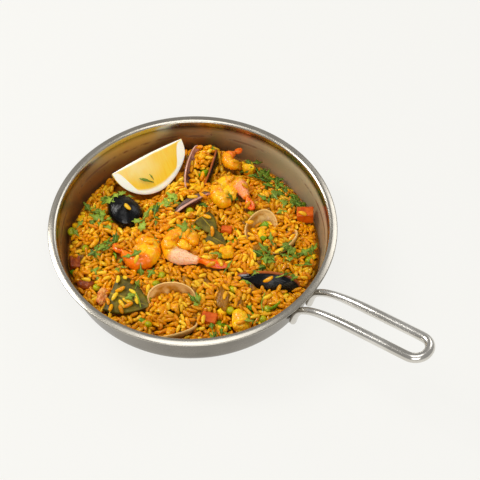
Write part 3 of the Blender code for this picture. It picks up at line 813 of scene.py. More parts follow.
def build_shrimp(name, place, shape, size, rosy, bare_to, along=(1, 0, 0), up=UP):
    """A curled shrimp with overlapping body rings, a streaked tail and a bare part behind it."""
    shape = (shape[0] * MM, radians(shape[1]), radians(shape[2]), shape[3] * MM)
    to_dish = axes_at(place, along, up)
    body = abs(shape[2]) * shape[0] * CURL_LENGTH
    tail_share = shape[3] / (shape[3] + body)
    rings = []
    rows = [(0.0, 0.0, 0.0, 1.0, 0.0, 0.0)]

    def note(share, angle, ridge):
        fan = smooth((TAIL_FAN * tail_share - share) / 0.03 + 0.5)
        bare = (1 - fan) * smooth((bare_to - share) / 0.03 + 0.5)
        rows.append((share, abs(angle / pi - 1), ridge, fan, bare, rosy))

    for i in range(SHRIMP_SECTIONS):
        share = (i + 0.35) / (SHRIMP_SECTIONS - 0.3)
        point, heading = shrimp_route(shape, share)
        wide, tall = shrimp_section(share, tail_share, size * MM)
        past = max(share - tail_share * 0.9, 0) / (1 - tail_share * 0.9)
        plate = past * SHRIMP_PLATES % 1.0
        overlap = 1 + 0.10 * (1 - plate) ** 2 * smooth(past * 8) - 0.05
        across = Vector((-sin(heading), cos(heading), 0))
        ring = []
        for angle in around(SHRIMP_SIDES):
            uneven = 1 + 0.05 * lump((share * 14, cos(angle), sin(angle)), 0.9, size)
            legs = 0.10 * max(-cos(angle), 0) * abs(sin(share * 60))
            spot = point + across * wide * cos(angle) * (overlap * uneven - legs)
            spot.z += tall * sin(angle) * overlap * uneven
            ring.append(to_dish @ spot)
            note(share, angle, (1 - plate) ** 3 * smooth(past * 8))
        rings.append(ring)
    note(1.0, 0.0, 0.0)
    ends = [to_dish @ shrimp_route(shape, share)[0] for share in (0, 1)]
    return loft(name + "_body", ends[0], rings, ends[1],
                ("along", "side", "ridge", "tail", "bare", "rosy"), rows)


# place in mm, (curl's radius, start, sweep, tail's length), body's half width, how rosy, bare up to
SHRIMPS = (
    ("shrimp_1", (-27, -42, 33), (13.2, -100, 255, 22), 7.7, 0.0, 0.52),
    ("shrimp_2", (-1, -13.5, 33.5), (13.4, -66, -255, 45), 7.8, 1.0, 0.52),
    ("shrimp_3", (-5, 59, 33.5), (13.2, 60, 258, 26), 7.7, 0.4, 0.4),
    ("shrimp_4", (-26.5, 92.5, 34), (6.5, 40, 190, 16), 5.4, 0.0, 0.5, FAR, (0.5, -0.4, 0.8)),
)


# ======== shells

SHELL_SIDES = 56
LIP_FROM = 0.96


def shell_rings(to_dish, size, shares, shrink=0.0, drop=0.0, lip=0.0):
    """Rings of a dome from its top to its rim, as shares of its outline."""
    length, width, depth, pinch = size
    rings = []
    for share in shares:
        lift = (depth - drop) * sqrt(max(1 - share ** 2.2, 0)) + lip
        ring = []
        for angle in around(SHELL_SIDES):
            x = (length - shrink) / 2 * cos(angle)
            y = (width - shrink) / 2 * sin(angle) * (1 + pinch * cos(angle))
            ring.append(to_dish @ Vector((x * share, y * share, lift)))
        rings.append(ring)
    return rings


def build_valve(name, place, along, up, size):
    """One half of a shell, a thin dome that is hollow on the side away from up."""
    size = tuple(value * MM for value in size[:3]) + size[3:]
    thick = 1.3 * MM
    to_dish = axes_at(place, along, up)
    shares = [sin(pi / 2 * k / 16) for k in range(1, 17)]
    rings = shell_rings(to_dish, size, shares)
    rings += shell_rings(to_dish, size, [1], 0.7 * thick, 0, -0.3 * MM)
    rings += shell_rings(to_dish, size, shares[::-1], 2 * thick, thick)
    levels = [(share, 0.9 * smooth((share - LIP_FROM) / 0.04)) for share in shares]
    levels += [(1.0, 0.95)] + [(share, 1.0) for share in shares[::-1]]
    rows = [(0.0, 0.0)] + [level for level in levels for _ in range(SHELL_SIDES)] + [(0.0, 1.0)]
    top = to_dish @ Vector((0, 0, size[2]))
    hollow = to_dish @ Vector((0, 0, size[2] - thick))
    return loft(name, top, rings, hollow, ("share", "inside"), rows)


def build_shut_mussel(name, place, along, up, size):
    """A shut shell: a domed top over a shallower underside, with a pale seam at one end."""
    size = tuple(value * MM for value in size[:3]) + size[3:]
    under = (size[0], size[1], -0.6 * size[2], size[3])
    to_dish = axes_at(place, along, up)
    shares = [sin(pi / 2 * k / 18) for k in range(1, 19)]
    rings = shell_rings(to_dish, size, shares)
    rings += shell_rings(to_dish, size, [1], 1.6 * MM, 0, -0.5 * MM)
    rings += shell_rings(to_dish, under, shares[::-1])
    rows = [(0.0, 0.0)]
    for share in shares + [1.0] + shares[::-1]:
        for angle in around(SHELL_SIDES):
            hinge = smooth(-1.6 * cos(angle + 0.3))
            rows.append((share, hinge if share > 0.985 else 0.0))
    return loft(name, to_dish @ Vector((0, 0, size[2])), rings, to_dish @ Vector((0, 0, under[2])),
                ("share", "inside"), rows + [(0.0, 0.0)])


def leaning(angle):
    return FAR * cos(radians(angle)) + Vector((0, 0, sin(radians(angle))))


VALVES = (
    ("mussel_2", (79.5, 6.5, 22), (0.88, 0.47, -0.06), (0.48, -0.85, 0.2), (62, 29, 11, 0.3)),
    ("mussel_3_left", (-51.3, 64.3, 28), (0.47, -0.8, -0.38), (-0.7, -0.45, -0.55), (50, 24, 6, 0.3)),
    ("mussel_3_right", (-41.5, 73.5, 27), (0.3, -0.9, -0.35), (0.85, 0.4, -0.3), (44, 24, 6, 0.3)),
    ("mussel_4", (-27, 33, 25), (-0.25, -0.95, 0), (-0.9, 0.25, 0.3), (44, 22, 8, 0.3)),
    ("clam_1_upper", (27.5, -64.5, 29), leaning(42), leaning(-48), (33, 43, 9, 0.12)),
    ("clam_1_lower", (46, -85, 26), (0.66, -0.45, 0.6), (0.5, -0.33, -0.8), (31, 43, 9, 0.12)),
    ("clam_2_upper", (41.5, 48.5, 29), (-0.8, -0.1, 0.52), (-0.55, 0.15, -0.82), (30, 36, 8, 0.12)),
    ("clam_2_lower", (63.5, 49, 26.5), (0.75, 0.03, 0.6), (0.6, 0, -0.75), (30, 34, 8, 0.12)),
)
# the valves in the pale pink painted-highlight finish
HIGHLIT_VALVES = ("mussel_3_left", "mussel_4")
OPEN_SHELLS = [valve[0] for valve in VALVES]


# ======== leaves, dice and chunks

LEAF_STATIONS = 48
LEAF_COLUMNS = 12


def build_bay_leaf(name, place, along, up, size, cut, bow):
    """A stiff leaf, cut straight at its near end, with a folded rib and a wavy edge."""
    length, width, thick = (value * MM for value in size)
    to_dish = axes_at(place, along, up)
    sides = [k / LEAF_COLUMNS * 2 - 1 for k in range(LEAF_COLUMNS + 1)]
    edges = [(1, across) for across in sides] + [(-1, across) for across in sides[-2:0:-1]]
    rings = []
    rows = [(0.0, 0.0)]
    for i in range(LEAF_STATIONS):
        share = i / (LEAF_STATIONS - 1) * 0.985
        grown = cut + (1 - cut) * share
        half = width / 2 * sin(pi * grown ** 0.9) ** 0.8 + 0.3 * MM
        rise = bow * MM * (1 - (2 * share - 1) ** 2)
        ring = []
        for level, across in edges:
            wave = 0.5 * MM * lump((share * 4, across * 1.5, 0), 0.8, length) * abs(across)
            skin = level * (1 - 0.75 * across ** 6) * thick / 2
            z = rise + 0.08 * half * abs(across) + wave + skin
            ring.append(to_dish @ Vector((length * (share - 0.5), half * across, z)))
            rows.append((share, across))
        rings.append(ring)
    first = to_dish @ Vector((-length / 2 - 0.2 * MM, 0, 0))
    last = to_dish @ Vector((length / 2, 0, 0))
    return loft(name, first, rings, last, ("along", "across"), rows + [(1.0, 0.0)])


BAY_LEAVES = (
    ("bay_leaf_1", (-1.5, -87.5, 30.3), (0.96, 0.28, 0), (0.15, -0.2, 1), (37, 36, 0.9), 0.36, 1.5),
    ("bay_leaf_2", (2.5, 19.5, 31.5), (0.9, -0.25, -0.1), (0.2, -0.3, 1), (23, 17, 0.9), 0.3, 1.0),
    ("bay_leaf_3", (18, 12.5, 29.5), (0.95, 0.1, -0.1), (0.2, -0.5, 1), (20, 14, 0.9), 0.3, 1.0),
)


def finish_block(name, bm, place=(0, 0, 0), along=(1, 0, 0), up=UP):
    bm.transform(axes_at(place, along, up))
    mesh = bpy.data.meshes.new(name)
    bm.to_mesh(mesh)
    bm.free()
    face_outward(mesh)
    return mesh


def stretched(point, size):
    """A point of a unit shape at its size in mm."""
    return Vector([axis * length * MM for axis, length in zip(point, size)])


def build_dice(name, place, along, up, size, bevel=1.2):
    """A diced vegetable: flat cut faces out of square, soft edges and a faintly uneven surface."""
    bm = bmesh.new()
    bmesh.ops.create_cube(bm, size=1)
    for vert in bm.verts:
        vert.co += Vector([0.1 * lump(vert.co * 9 + Vector(place), 1.7, k) for k in range(3)])
        vert.co = stretched(vert.co, size)
    bmesh.ops.bevel(bm, geom=list(bm.edges), offset=bevel * MM, segments=3, profile=0.6, affect="EDGES")
    bmesh.ops.subdivide_edges(bm, edges=list(bm.edges), cuts=4, use_grid_fill=True)
    bm.normal_update()
    for vert in bm.verts:
        vert.co += vert.normal * 0.25 * MM * lump(vert.co, 2.5 * MM)
    return finish_block(name, bm, place, along, up)


def build_chunk(name, place, along, size, rough):
    """An uneven cooked lump with torn fibres."""
    bm = bmesh.new()
    bmesh.ops.create_icosphere(bm, subdivisions=5, radius=0.5)
    for vert in bm.verts:
        x, y, z = vert.co
        swell = 1 + rough * 2 * lump(vert.co * 3 + Vector(place), 1.3)
        swell += 0.5 * rough * lump(vert.co * 9 + Vector(place), 1.3, 3.0)
        swell += 0.035 * lump((x * 3, y * 14, z * 14), 1.0, 5.0)
        square = max(abs(x), abs(y), abs(z)) / 0.5
        vert.co = stretched(vert.co * (swell * (1.12 - 0.12 * square)), size)
    return finish_block(name, bm, place, along)


def build_strip(name, place, along, radius, sweep_angle, thick, tall):
    """A curled strip that stands on its edge."""
    to_dish = axes_at(place, along, UP)
    sections, sides = 40, 20
    rings = []
    for i in range(sections):
        t = i / (sections - 1)
        angle = radians(sweep_angle) * (t - 0.5)
        taper = 0.55 + 0.45 * sin(pi * t)
        ring = []
        for turn in around(sides):
            uneven = 1 + 0.12 * lump((t * 6, cos(turn), sin(turn)), 0.8, radius)
            away = (radius + thick / 2 * taper * cos(turn) * uneven) * MM
            z = tall / 2 * taper * sin(turn) * uneven * MM
            ring.append(to_dish @ Vector((away * cos(angle), away * sin(angle), z)))
        rings.append(ring)
    tips = []
    for t in (-0.5, 0.5):
        angle = radians(sweep_angle) * t * 1.06
        tips.append(to_dish @ (Vector((cos(angle), sin(angle), 0)) * radius * MM))
    return loft(name, tips[0], rings, tips[1])


DICE = (
    ("carrot_1", CARROT, (62.5, 86.5, 27), RIGHT, UP, (15, 11, 12)),
    ("carrot_2", CARROT, (66, -59, 28.5), (0.9, 0.4, 0), (0.2, 0, 1), (13.5, 10, 8)),
    ("carrot_3", SAUSAGE, (-70, -84, 23.5), (0.7, -0.7, 0), (0.3, 0, 1), (12, 9, 8)),
    ("pepper_1", PEPPER, (18, 26, 31), (0.8, 0.5, 0), (0, 0.2, 1), (10, 6, 5), 0.9),
)
CHUNKS = (
    ("chicken_1", CHICKEN, "chicken", (89, -45, 29), FAR, (21, 15, 13), 0.16),
    ("chicken_2", CHICKEN, "chicken", (34.4, 5, 32), RIGHT, (13, 12, 11), 0.16),
    ("chicken_3", BROWN_CRUMB, "chicken", (62, -34, 29), FAR, (28, 12, 10), 0.16),
    ("chicken_4", CHICKEN, "chicken", (-13, 98, 27), RIGHT, (12, 12, 11), 0.16),
    ("tentacle", TENTACLE, "squid", (-25, -98, 26.5), (0.5, -0.8, 0), (17, 9, 8), 0.25),
    ("sausage", SAUSAGE, "sausage", (-46, -96, 24.5), RIGHT, (15, 9, 7), 0.1),
)
STRIPS = (
    ("squid_1", (-78, -60, 28), (0.9, 0.5, 0), 10, 100, 5, 6),
    ("squid_2", (-62, -46, 30), (0.2, 1, 0), 6, 110, 5, 5),
)


def build_toppings():
    build_lemon()
    for name, *settings in SHRIMPS:
        add_piece(build_shrimp(name, *settings), SHRIMP, "shrimp", name)
    for name, place, (radius, *_), size, *_ in SHRIMPS[:3]:
        middle = Vector(place) + Vector((0, 0, 1.5))
        flesh = build_chunk(name + "_flesh", middle, (1, 0, 0), (radius, radius, size), 0.3)
        add_piece(flesh, SHRIMP, "shrimp")
    shut = build_shut_mussel("mussel_1_shell", (-72, -13.5, 28.5), (1, -0.3, -0.1), (0.15, 0.1, 1),
                             (39, 30, 10, 0.2))
    add_piece(shut, MUSSEL, "mussel", "mussel_1")
    for name, *settings in VALVES:
        kind = name.split("_")[0]
        finish = HIGHLIT_MUSSEL if name in HIGHLIT_VALVES else MUSSEL if kind == "mussel" else CLAM
        add_piece(build_valve(name + "_valve", *settings), finish, kind, name)
    for name, *settings in BAY_LEAVES:
        add_piece(build_bay_leaf(name + "_blade", *settings), BAY, "leaf", name)
    for name, finish, *settings in DICE:
        add_piece(build_dice(name + "_dice", *settings), finish, name.split("_")[0], name)
    for name, finish, slot, *settings in CHUNKS:
        add_piece(build_chunk(name + "_piece", *settings), finish, slot, name)
    for name, *settings in STRIPS:
        add_piece(build_strip(name + "_strip", *settings), SQUID, "squid", name)


# ======== height maps

def heights_of(names):
    """The top of some nodes over a square grid of double cells, and -1 where there is none."""
    points, faces = [], []
    for name in names:
        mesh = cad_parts[name].data
        first = len(points)
        points += [tuple(vert.co) for vert in mesh.vertices]
        faces += [tuple(first + index for index in face.vertices) for face in mesh.polygons]
    search = BVHTree.FromPolygons(points, faces)
    spacing = 2 * CELL
    count = int(round(2 * REACH / spacing)) + 1
    heights = np.full((count, count), -1.0)
    for i in range(count):
        for j in range(count):
            x, y = -REACH + i * spacing, -REACH + j * spacing
            if hypot(x, y) < REACH:
                hit = search.ray_cast(Vector((x, y, 0.2)), Vector((0, 0, -1)))[0]
                if hit:
                    heights[i, j] = hit.z
    return heights


def widen(heights, cells, pick):
    """The largest or smallest value within a square of cells."""
    padded = np.pad(heights, cells, mode="edge")
    rows, columns = heights.shape
    result = heights.copy()
    for i in range(2 * cells + 1):
        for j in range(2 * cells + 1):
            result = pick(result, padded[i:i + rows, j:j + columns])
    return result


def refine(coarse):
    """The same map at half the spacing."""
    count = coarse.shape[0]
    at = np.arange(2 * count - 1) / 2
    low = np.floor(at).astype(int)
    high = np.minimum(low + 1, count - 1)
    share = at - low
    rows = coarse[low] * (1 - share)[:, None] + coarse[high] * share[:, None]
    return rows[:, low] * (1 - share) + rows[:, high] * share


def wall_reach(height):
    """How far out the rice may come at a height."""
    low = corner_point(CORNER_RADIUS - WALL, CORNER_SWEEP)
    top_radius = WALL_TOP.x - WALL * sin(CORNER_SWEEP)
    return low.x + (top_radius - low.x) * (height - low.y) / (WALL_TOP.y - low.y) - 0.6 * MM


# heaps and hollows of the rice: place, height and spread in mm
HEAPS = (((36, -72), 3.5, 10), ((50, 48), 3, 9), ((68, -32), 2, 8), ((-53, 74), 8, 8),
         ((-62, 12), -5, 9), ((-58, 26), -4, 9), ((-66, 0), -4, 8), ((-56, -18), -2, 7))


class Maps:
    """The dish seen from above: rice level wanted, and what is already there."""

    def __init__(self):
        toppings = [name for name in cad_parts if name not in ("pan", "handle", "rice_bed")]
        rice = heights_of(["rice_bed"])
        level = widen(widen(rice, 2, np.maximum), 2, np.minimum)
        cells = range(level.shape[0])
        across = np.array(cells) * 2 * CELL - REACH
        for (x, y), rise, spread in HEAPS:
            apart = np.hypot(across[:, None] - x * MM, across[None, :] - y * MM)
            level = level + rise * MM * np.exp(-(apart / (spread * MM)) ** 2 / 2) * (level > 0)
        clumps = np.array([[lump((i * 0.11, j * 0.11, 0), 1.0, 2.0) for j in cells] for i in cells])
        food = heights_of(toppings)
        near_food = widen((food > level - 2 * MM).astype(float), 4, np.maximum)
        level = level + (CLUMP * clumps - TOPPING_DIP * near_food) * (level > 0)
        solids = [name for name in toppings if name not in OPEN_SHELLS]
        for names, depth in ((solids, 6 * MM), (OPEN_SHELLS[1:], 3 * MM)):
            tops = heights_of(names)
            level = np.where(tops > level - depth, np.minimum(level, tops - 1 * MM), level)
        self.level = refine(level)
        self.core = refine(np.minimum(widen(rice, 1, np.minimum), level)) - CORE_DEPTH
        self.food = refine(food)
        self.height = np.maximum(self.core, self.food)
        self.level[self.core < 0] = -1.0

    def read(self, values, x, y):
        i, j = (int(round((value + REACH) / CELL)) for value in (x, y))
        return values[i, j]

    def at(self, x, y):
        return self.read(self.height, x, y)

    def patch(self, x, y, half):
        """The rows and columns near a place, with their distances from it."""
        n = int(half / CELL) + 1
        spans, offsets = [], []
        for value in (x, y):
            middle = int(round((value + REACH) / CELL))
            span = slice(max(middle - n, 0), min(middle + n + 1, self.height.shape[0]))
            spans.append(span)
            offsets.append(np.arange(span.start, span.stop) * CELL - REACH - value)
        return tuple(spans), offsets[0][:, None], offsets[1][None, :]

    def raise_ball(self, x, y, top, radius):
        """Marks a round thing whose top is at a height."""
        where, dx, dy = self.patch(x, y, radius)
        apart = (dx ** 2 + dy ** 2) / radius ** 2
        ball = np.where(apart < 1, top - radius + radius * np.sqrt(np.maximum(1 - apart, 0)), -1)
        self.height[where] = np.maximum(self.height[where], ball)


# ======== rice

def settle(maps, x, y, yaw, size, limit, draw):
    """Lets one grain come to rest; returns its centre and turn, or nothing if it would stand proud."""
    a, b, c = (half * part for half, part in zip(GRAIN, size))
    where, dx, dy = maps.patch(x, y, a)
    u = dx * cos(yaw) + dy * sin(yaw)
    v = dy * cos(yaw) - dx * sin(yaw)
    span = (u / a) ** 2 + (v / b) ** 2
    inside = span < 1
    ground = maps.height[where]
    head = ground[inside & (u > 0.35 * a)]
    tail = ground[inside & (u < -0.35 * a)]
    if not len(head) or not len(tail) or head.min() < 0 or tail.min() < 0:
        return None
    pitch = clamp(atan((head.mean() - tail.mean()) / (1.2 * a)) + draw.normal(0, 0.16), -0.75, 0.75)
    belly = c * np.sqrt(np.maximum(1 - span, 0))
    tilt = np.tan(pitch) * u
    centre = float(np.quantile((ground - tilt + 0.8 * belly)[inside], 0.8))
    edge = hypot(x, y) + a * abs(cos(yaw - np.arctan2(y, x)))
    if centre > limit or edge > wall_reach(centre):
        return None
    top = np.where(inside, centre + tilt + 0.9 * belly, -1)
    maps.height[where] = np.maximum(ground, top)
    return centre, pitch


POUR_BATCH = 160                              # places tried before the free ones are counted again
POUR_STOP = 60                                # the dish is full when fewer free cells are left


def pour_rice(maps, draw):
    """Fills the dish with grains up to its level; the later ones lie on top."""
    grains = []
    shut = np.zeros_like(maps.level, dtype=bool)
    while len(grains) < GRAIN_LIMIT:
        low = (maps.level > 0) & ~shut & (maps.height < maps.level - FILL_SHORT)
        rows, columns = np.nonzero(low)
        if len(rows) < POUR_STOP:
            break
        for pick in draw.integers(0, len(rows), POUR_BATCH):
            i, j = rows[pick], columns[pick]
            level = maps.level[i, j]
            if maps.height[i, j] >= level - FILL_SHORT:
                continue
            x, y = i * CELL - REACH, j * CELL - REACH
            size = (draw.uniform(0.7, 1.15), draw.uniform(0.78, 1.12), draw.uniform(0.8, 1.1))
            yaw = draw.uniform(0, pi)
            rest = settle(maps, x, y, yaw, size, level + draw.uniform(-0.3, 1.6) * MM, draw)
            if rest is None:
                shut[i - 1:i + 2, j - 1:j + 2] = draw.random() < 0.5
                continue
            centre, pitch = rest
            turn = (draw.normal(0, 0.3), -pitch, yaw)
            # how far the grain lies below the level; the rice finish darkens deep grains with it as
            # painted shade
            depth = clamp((level - centre) / (4 * MM), 0.0, 1.0)
            grains.append(((x, y, centre), turn, size, draw.random(), depth))
    return grains


STREWN_COUNT = 45
STREWN_APART = 7 * MM
# the lemon and the mussel, which stay free of strewn grains: place and radius in mm
BARE_SPOTS = ((-84, 30, 54), (-72, -13.5, 20))


def strew_grains(maps, draw):
    """A few loose grains on the toppings, apart from each other."""
    grains = []
    rows, columns = np.nonzero((maps.food > maps.level - 1 * MM) & (maps.level > 0))
    while len(grains) < STREWN_COUNT:
        pick = draw.integers(0, len(rows))
        x, y = rows[pick] * CELL - REACH, columns[pick] * CELL - REACH
        taken = [(place[0], place[1], STREWN_APART) for place, *_ in grains]
        taken += [[value * MM for value in spot] for spot in BARE_SPOTS]
        if any(hypot(x - near_x, y - near_y) < room for near_x, near_y, room in taken):
            continue
        size = (draw.uniform(0.85, 1.1), draw.uniform(0.9, 1.05), 1.0)
        yaw = draw.uniform(0, pi)
        rest = settle(maps, x, y, yaw, size, maps.at(x, y) + 3 * MM, draw)
        if rest:
            grains.append(((x, y, rest[0]), (0.0, -rest[1], yaw), size, draw.random(), 0.0))
    return grains


# loose grains on the mussel and the bay leaf, in mm
PLACED_GRAINS = ((-66, -14), (-17, -75), (-21, -80), (-13, -94), (-3, -96), (-1, -91), (5, -85))


def make_grain(bend, tip):
    """One grain along X, of unit half sizes, bent a little and blunter at one end."""
    rings = []
    for i in range(1, 8):
        t = -cos(pi * i / 8)
        girth = (1 - abs(t) ** 2.6) ** 0.55 * (1 + tip * t)
        rings.append([(t, girth * cos(angle) + bend * (t * t - 0.4), girth * sin(angle))
                      for angle in around(7)])
    return loft("grain", (-1, bend * 0.6, 0), rings, (1, bend * 0.6, 0))


def build_grains(maps, draw):
    grains = pour_rice(maps, draw)
    for x, y in PLACED_GRAINS:
        yaw = draw.uniform(0, pi)
        size = (1.0, 1.0, 1.0)
        rest = settle(maps, x * MM, y * MM, yaw, size, 1.0, draw)
        if rest:
            grains.append(((x * MM, y * MM, rest[0]), (0, -rest[1], yaw), size, 0.95, 0.0))
    grains += strew_grains(maps, draw)
    kinds = (("straight", 0.0, 0.06), ("curved", 0.35, 0.1), ("plump", -0.2, 0.16))
    for k, (kind, bend, tip) in enumerate(kinds):
        spots = [(place, turn, [half * part for half, part in zip(GRAIN, size)], tone, depth)
                 for place, turn, size, tone, depth in grains[k::len(kinds)]]
        scatter("rice_" + kind, spots, make_grain(bend, tip), RICE, "rice")


def build_core(maps):
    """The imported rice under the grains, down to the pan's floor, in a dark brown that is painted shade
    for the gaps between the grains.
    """
    sides, steps = 160, 46
    corner = [corner_point(CORNER_RADIUS - WALL - 0.3 * MM, CORNER_SWEEP * k / 6) for k in range(7)]
    rings = [turned_ring(point.x, point.y, sides) for point in corner]
    for i in range(steps):
        radius = (wall_reach(20 * MM) - 0.2 * MM) * (1 - i / steps)
        inner = min(radius, EDGE_RADIUS)
        ring = []
        for angle in around(sides):
            x, y = radius * cos(angle), radius * sin(angle)
            height = maps.read(maps.core, inner * cos(angle), inner * sin(angle))
            uneven = 0.9 * MM * lump((x, y, 0), 3.5 * MM)
            ring.append((x, y, max(height, 12 * MM) + uneven))
        rings.append(ring)
    mesh = loft("rice_core", (0, 0, corner[0].y), rings, (0, 0, maps.read(maps.core, 0, 0)))
    add_piece(mesh, SHADED_CORE, "rice", "rice_bed")


# ======== crumbs, peas, strips and herbs

CRUMB_COUNT = 220
PEA_RADIUS = 3.9 * MM
LOWEST_LEVEL = 24 * MM                        # peas and pepper strips lie no lower than this


def make_ball(name, reshape):
    """A small ball of unit radius whose points are moved in and out by a function."""
    bm = bmesh.new()
    bmesh.ops.create_icosphere(bm, subdivisions=3, radius=1)
    for vert in bm.verts:
        vert.co *= reshape(vert.co)
    return finish_block(name, bm)


def make_crumb(seed):
    """A small torn lump."""
    return make_ball("crumb", lambda co: 1 + 0.5 * lump(co, 0.9, seed) + 0.2 * lump(co, 0.35, seed))


def build_crumbs(maps, draw):
    """Bits of chicken, fish and onion that stand among the grains."""
    finishes = (GREEN_PEPPER, BROWN_CRUMB, CHICKEN, CRUMB)
    kinds = [[] for _ in finishes]
    rows, columns = np.nonzero((maps.level > 0) & (maps.food < maps.level - 3 * MM))
    for number in range(CRUMB_COUNT):
        pick = draw.integers(0, len(rows))
        x, y = rows[pick] * CELL - REACH, columns[pick] * CELL - REACH
        radius = draw.uniform(2.2, 4.9) * MM
        if hypot(x, y) > SPREAD_RADIUS:
            continue
        top = maps.level[rows[pick], columns[pick]] + draw.uniform(-0.5, 1.6) * MM
        size = (radius * draw.uniform(0.9, 1.5), radius, radius * draw.uniform(0.7, 1.0))
        turn = [draw.uniform(-0.5, 0.5), draw.uniform(-0.5, 0.5), draw.uniform(0, TURN)]
        kind = 0 if number % 11 == 0 else 1 + min(number % 5, 2)
        kinds[kind].append(((x, y, top - size[2]), turn, size, 0.0, 0.0))
        maps.raise_ball(x, y, top, radius)
    for number, (spots, finish) in enumerate(zip(kinds, finishes), 1):
        scatter(f"crumbs_{number}", spots, make_crumb(number), finish, "chicken")


PEAS = ((-96, -59), (-73, -66), (-53, 5), (-23, 23), (4, -50), (6, -60), (9, -75), (45, -49), (75, -41),
        (99, -19), (103, -30), (103, 4), (94, 21), (23, 56), (96, 48), (-36, -93), (27, -96), (63, -22))


def make_pea():
    """A cooked pea: a ball with a dimple and a few wrinkles."""
    def wrinkle(co):
        dimple = 0.12 * exp(-((co - Vector(UP)).length / 0.5) ** 2)
        return 1 - dimple + 0.05 * lump(co, 0.6)

    return make_ball("pea", wrinkle)


def build_peas(maps, draw):
    spots = []
    for x, y in PEAS:
        x, y, size = x * MM, y * MM, draw.uniform(0.88, 1.1)
        top = max(maps.read(maps.level, x, y), LOWEST_LEVEL) + draw.uniform(2.4, 4.0) * MM
        turn = [draw.uniform(-1, 1), draw.uniform(-1, 1), draw.uniform(0, TURN)]
        centre = (x, y, top - PEA_RADIUS * size)
        spots.append((centre, turn, (size, size, size * 0.94), draw.random(), 0.0))
        maps.raise_ball(x, y, top, PEA_RADIUS * size)
    scatter("peas", spots, make_pea(), PEA, "leaf", PEA_RADIUS)


# curled strips of green pepper: place in mm, heading and sweep in degrees, radius in mm
PEPPER_STRIPS = ((12, -51, 20, 120, 5), (90, -10, -15, 60, 14), (84, -60, 100, 90, 5),
                 (-46, -62, 60, 80, 5))


def build_pepper_strips(maps):
    for number, (x, y, heading, sweep_angle, radius) in enumerate(PEPPER_STRIPS, 1):
        level = max(maps.read(maps.level, x * MM, y * MM), LOWEST_LEVEL) / MM
        ahead = Vector((cos(radians(heading)), sin(radians(heading)), 0))
        place = (x, y, level + 0.4)
        mesh = build_strip(f"green_pepper_{number}", place, ahead, radius, sweep_angle, 2.2, 4.6)
        add_piece(mesh, GREEN_PEPPER, "leaf")
        bulge_x, bulge_y = x + radius * ahead.x, y + radius * ahead.y
        maps.raise_ball(bulge_x * MM, bulge_y * MM, (level + 2.2) * MM, 3 * MM)


def make_parsley(lobes, depth, curl):
    """A flat lobed leaf of unit length from its stalk at the origin towards +X."""
    teeth = lobes * 4 + 2
    rim = [Vector((0, -0.03, 0))]
    for k in range(teeth):
        t = k / (teeth - 1)
        angle = (t - 0.5) * radians(250)
        scallop = 1 - depth * (0.5 + 0.5 * cos(TURN * t * lobes + pi * (1 - lobes % 2)))
        away = 0.56 * (0.55 + 0.45 * cos(angle * 0.72)) * scallop
        x, y = 0.42 + away * cos(angle), away * sin(angle)
        rim.append(Vector((x, y, curl * (x - 0.4) ** 2 + 0.5 * curl * y * y + 0.05 * sin(9 * t))))
    rim.append(Vector((0, 0.03, 0)))
    thick = Vector((0, 0, 0.02))
    middle = Vector((0.42, 0, 0.05))
    mesh = loft("parsley", middle + thick, [[p + thick for p in rim], [p - thick for p in rim]],
                middle - thick)
    mark(mesh, "along", [vert.co.x for vert in mesh.vertices])
    mark(mesh, "across", [vert.co.y * 1.6 for vert in mesh.vertices])
    return mesh


# tufts of chopped parsley: place in mm, number of leaves, spread in mm, lightness from 0 to 1
TUFTS = (
    (-51, 99, 3, 2, 0.2), (-9, 104, 8, 4, 0.1), (0, 103, 8, 4, 0.2), (11, 102, 9, 4, 0.1),
    (22, 99, 8, 4, 0.2), (33, 99, 8, 4, 0.2), (46, 97, 10, 4, 0.1), (40, 88, 3, 3, 0.6),
    (42, 80, 4, 3, 0.6), (54, 93, 3, 3, 0.3), (73, 49, 3, 3, 0.4), (88, 43, 5, 5, 0.5),
    (91, 54, 4, 4, 0.3), (82, 36, 4, 4, 0.3), (92, 16, 4, 3, 0.3), (66, 22, 14, 6, 0.15),
    (-98, -31, 3, 3, 0.5), (-87, -33, 5, 4, 0.4), (-79, -36, 5, 4, 0.5), (-47, -14, 4, 3, 0.6),
    (-43, -4, 5, 4, 0.3), (-42, 15, 7, 5, 0.9), (-39, 24, 4, 3, 0.9), (-16, 36, 4, 2, 0.1),
    (-1, -82, 3, 4, 0.4), (-53, -51, 5, 4, 0.2), (-61, -53, 4, 4, 0.4), (-45, -85, 3, 2, 0.3),
    (-36, -64, 3, 3, 0.5), (-7, -1, 4, 4, 0.6), (0, 1, 3, 4, 0.7), (-3, 58, 5, 3, 0.2),
    (-80, -11, 6, 5, 0.6), (-90, -8, 3, 3, 0.4), (-59, -66, 3, 3, 0.5), (84, -64, 3, 3, 0.1),
    (76, -70, 4, 3, 0.2), (102, -36, 3, 3, 0.4), (51, -54, 3, 2, 0.3), (34, 1, 2, 2, 0.5),
    (62, 38, 3, 3, 0.2), (-28, -20, 2, 3, 0.4), (-70, 27, 2, 2, 0.5),
    (-20, -60, 4, 14, 0.4), (60, -10, 4, 14, 0.4), (-90, -50, 3, 8, 0.4), (30, 80, 3, 8, 0.3),
)
PARSLEY_SHAPES = ((3, 0.45, 0.5), (5, 0.38, 0.3), (3, 0.55, -0.35))


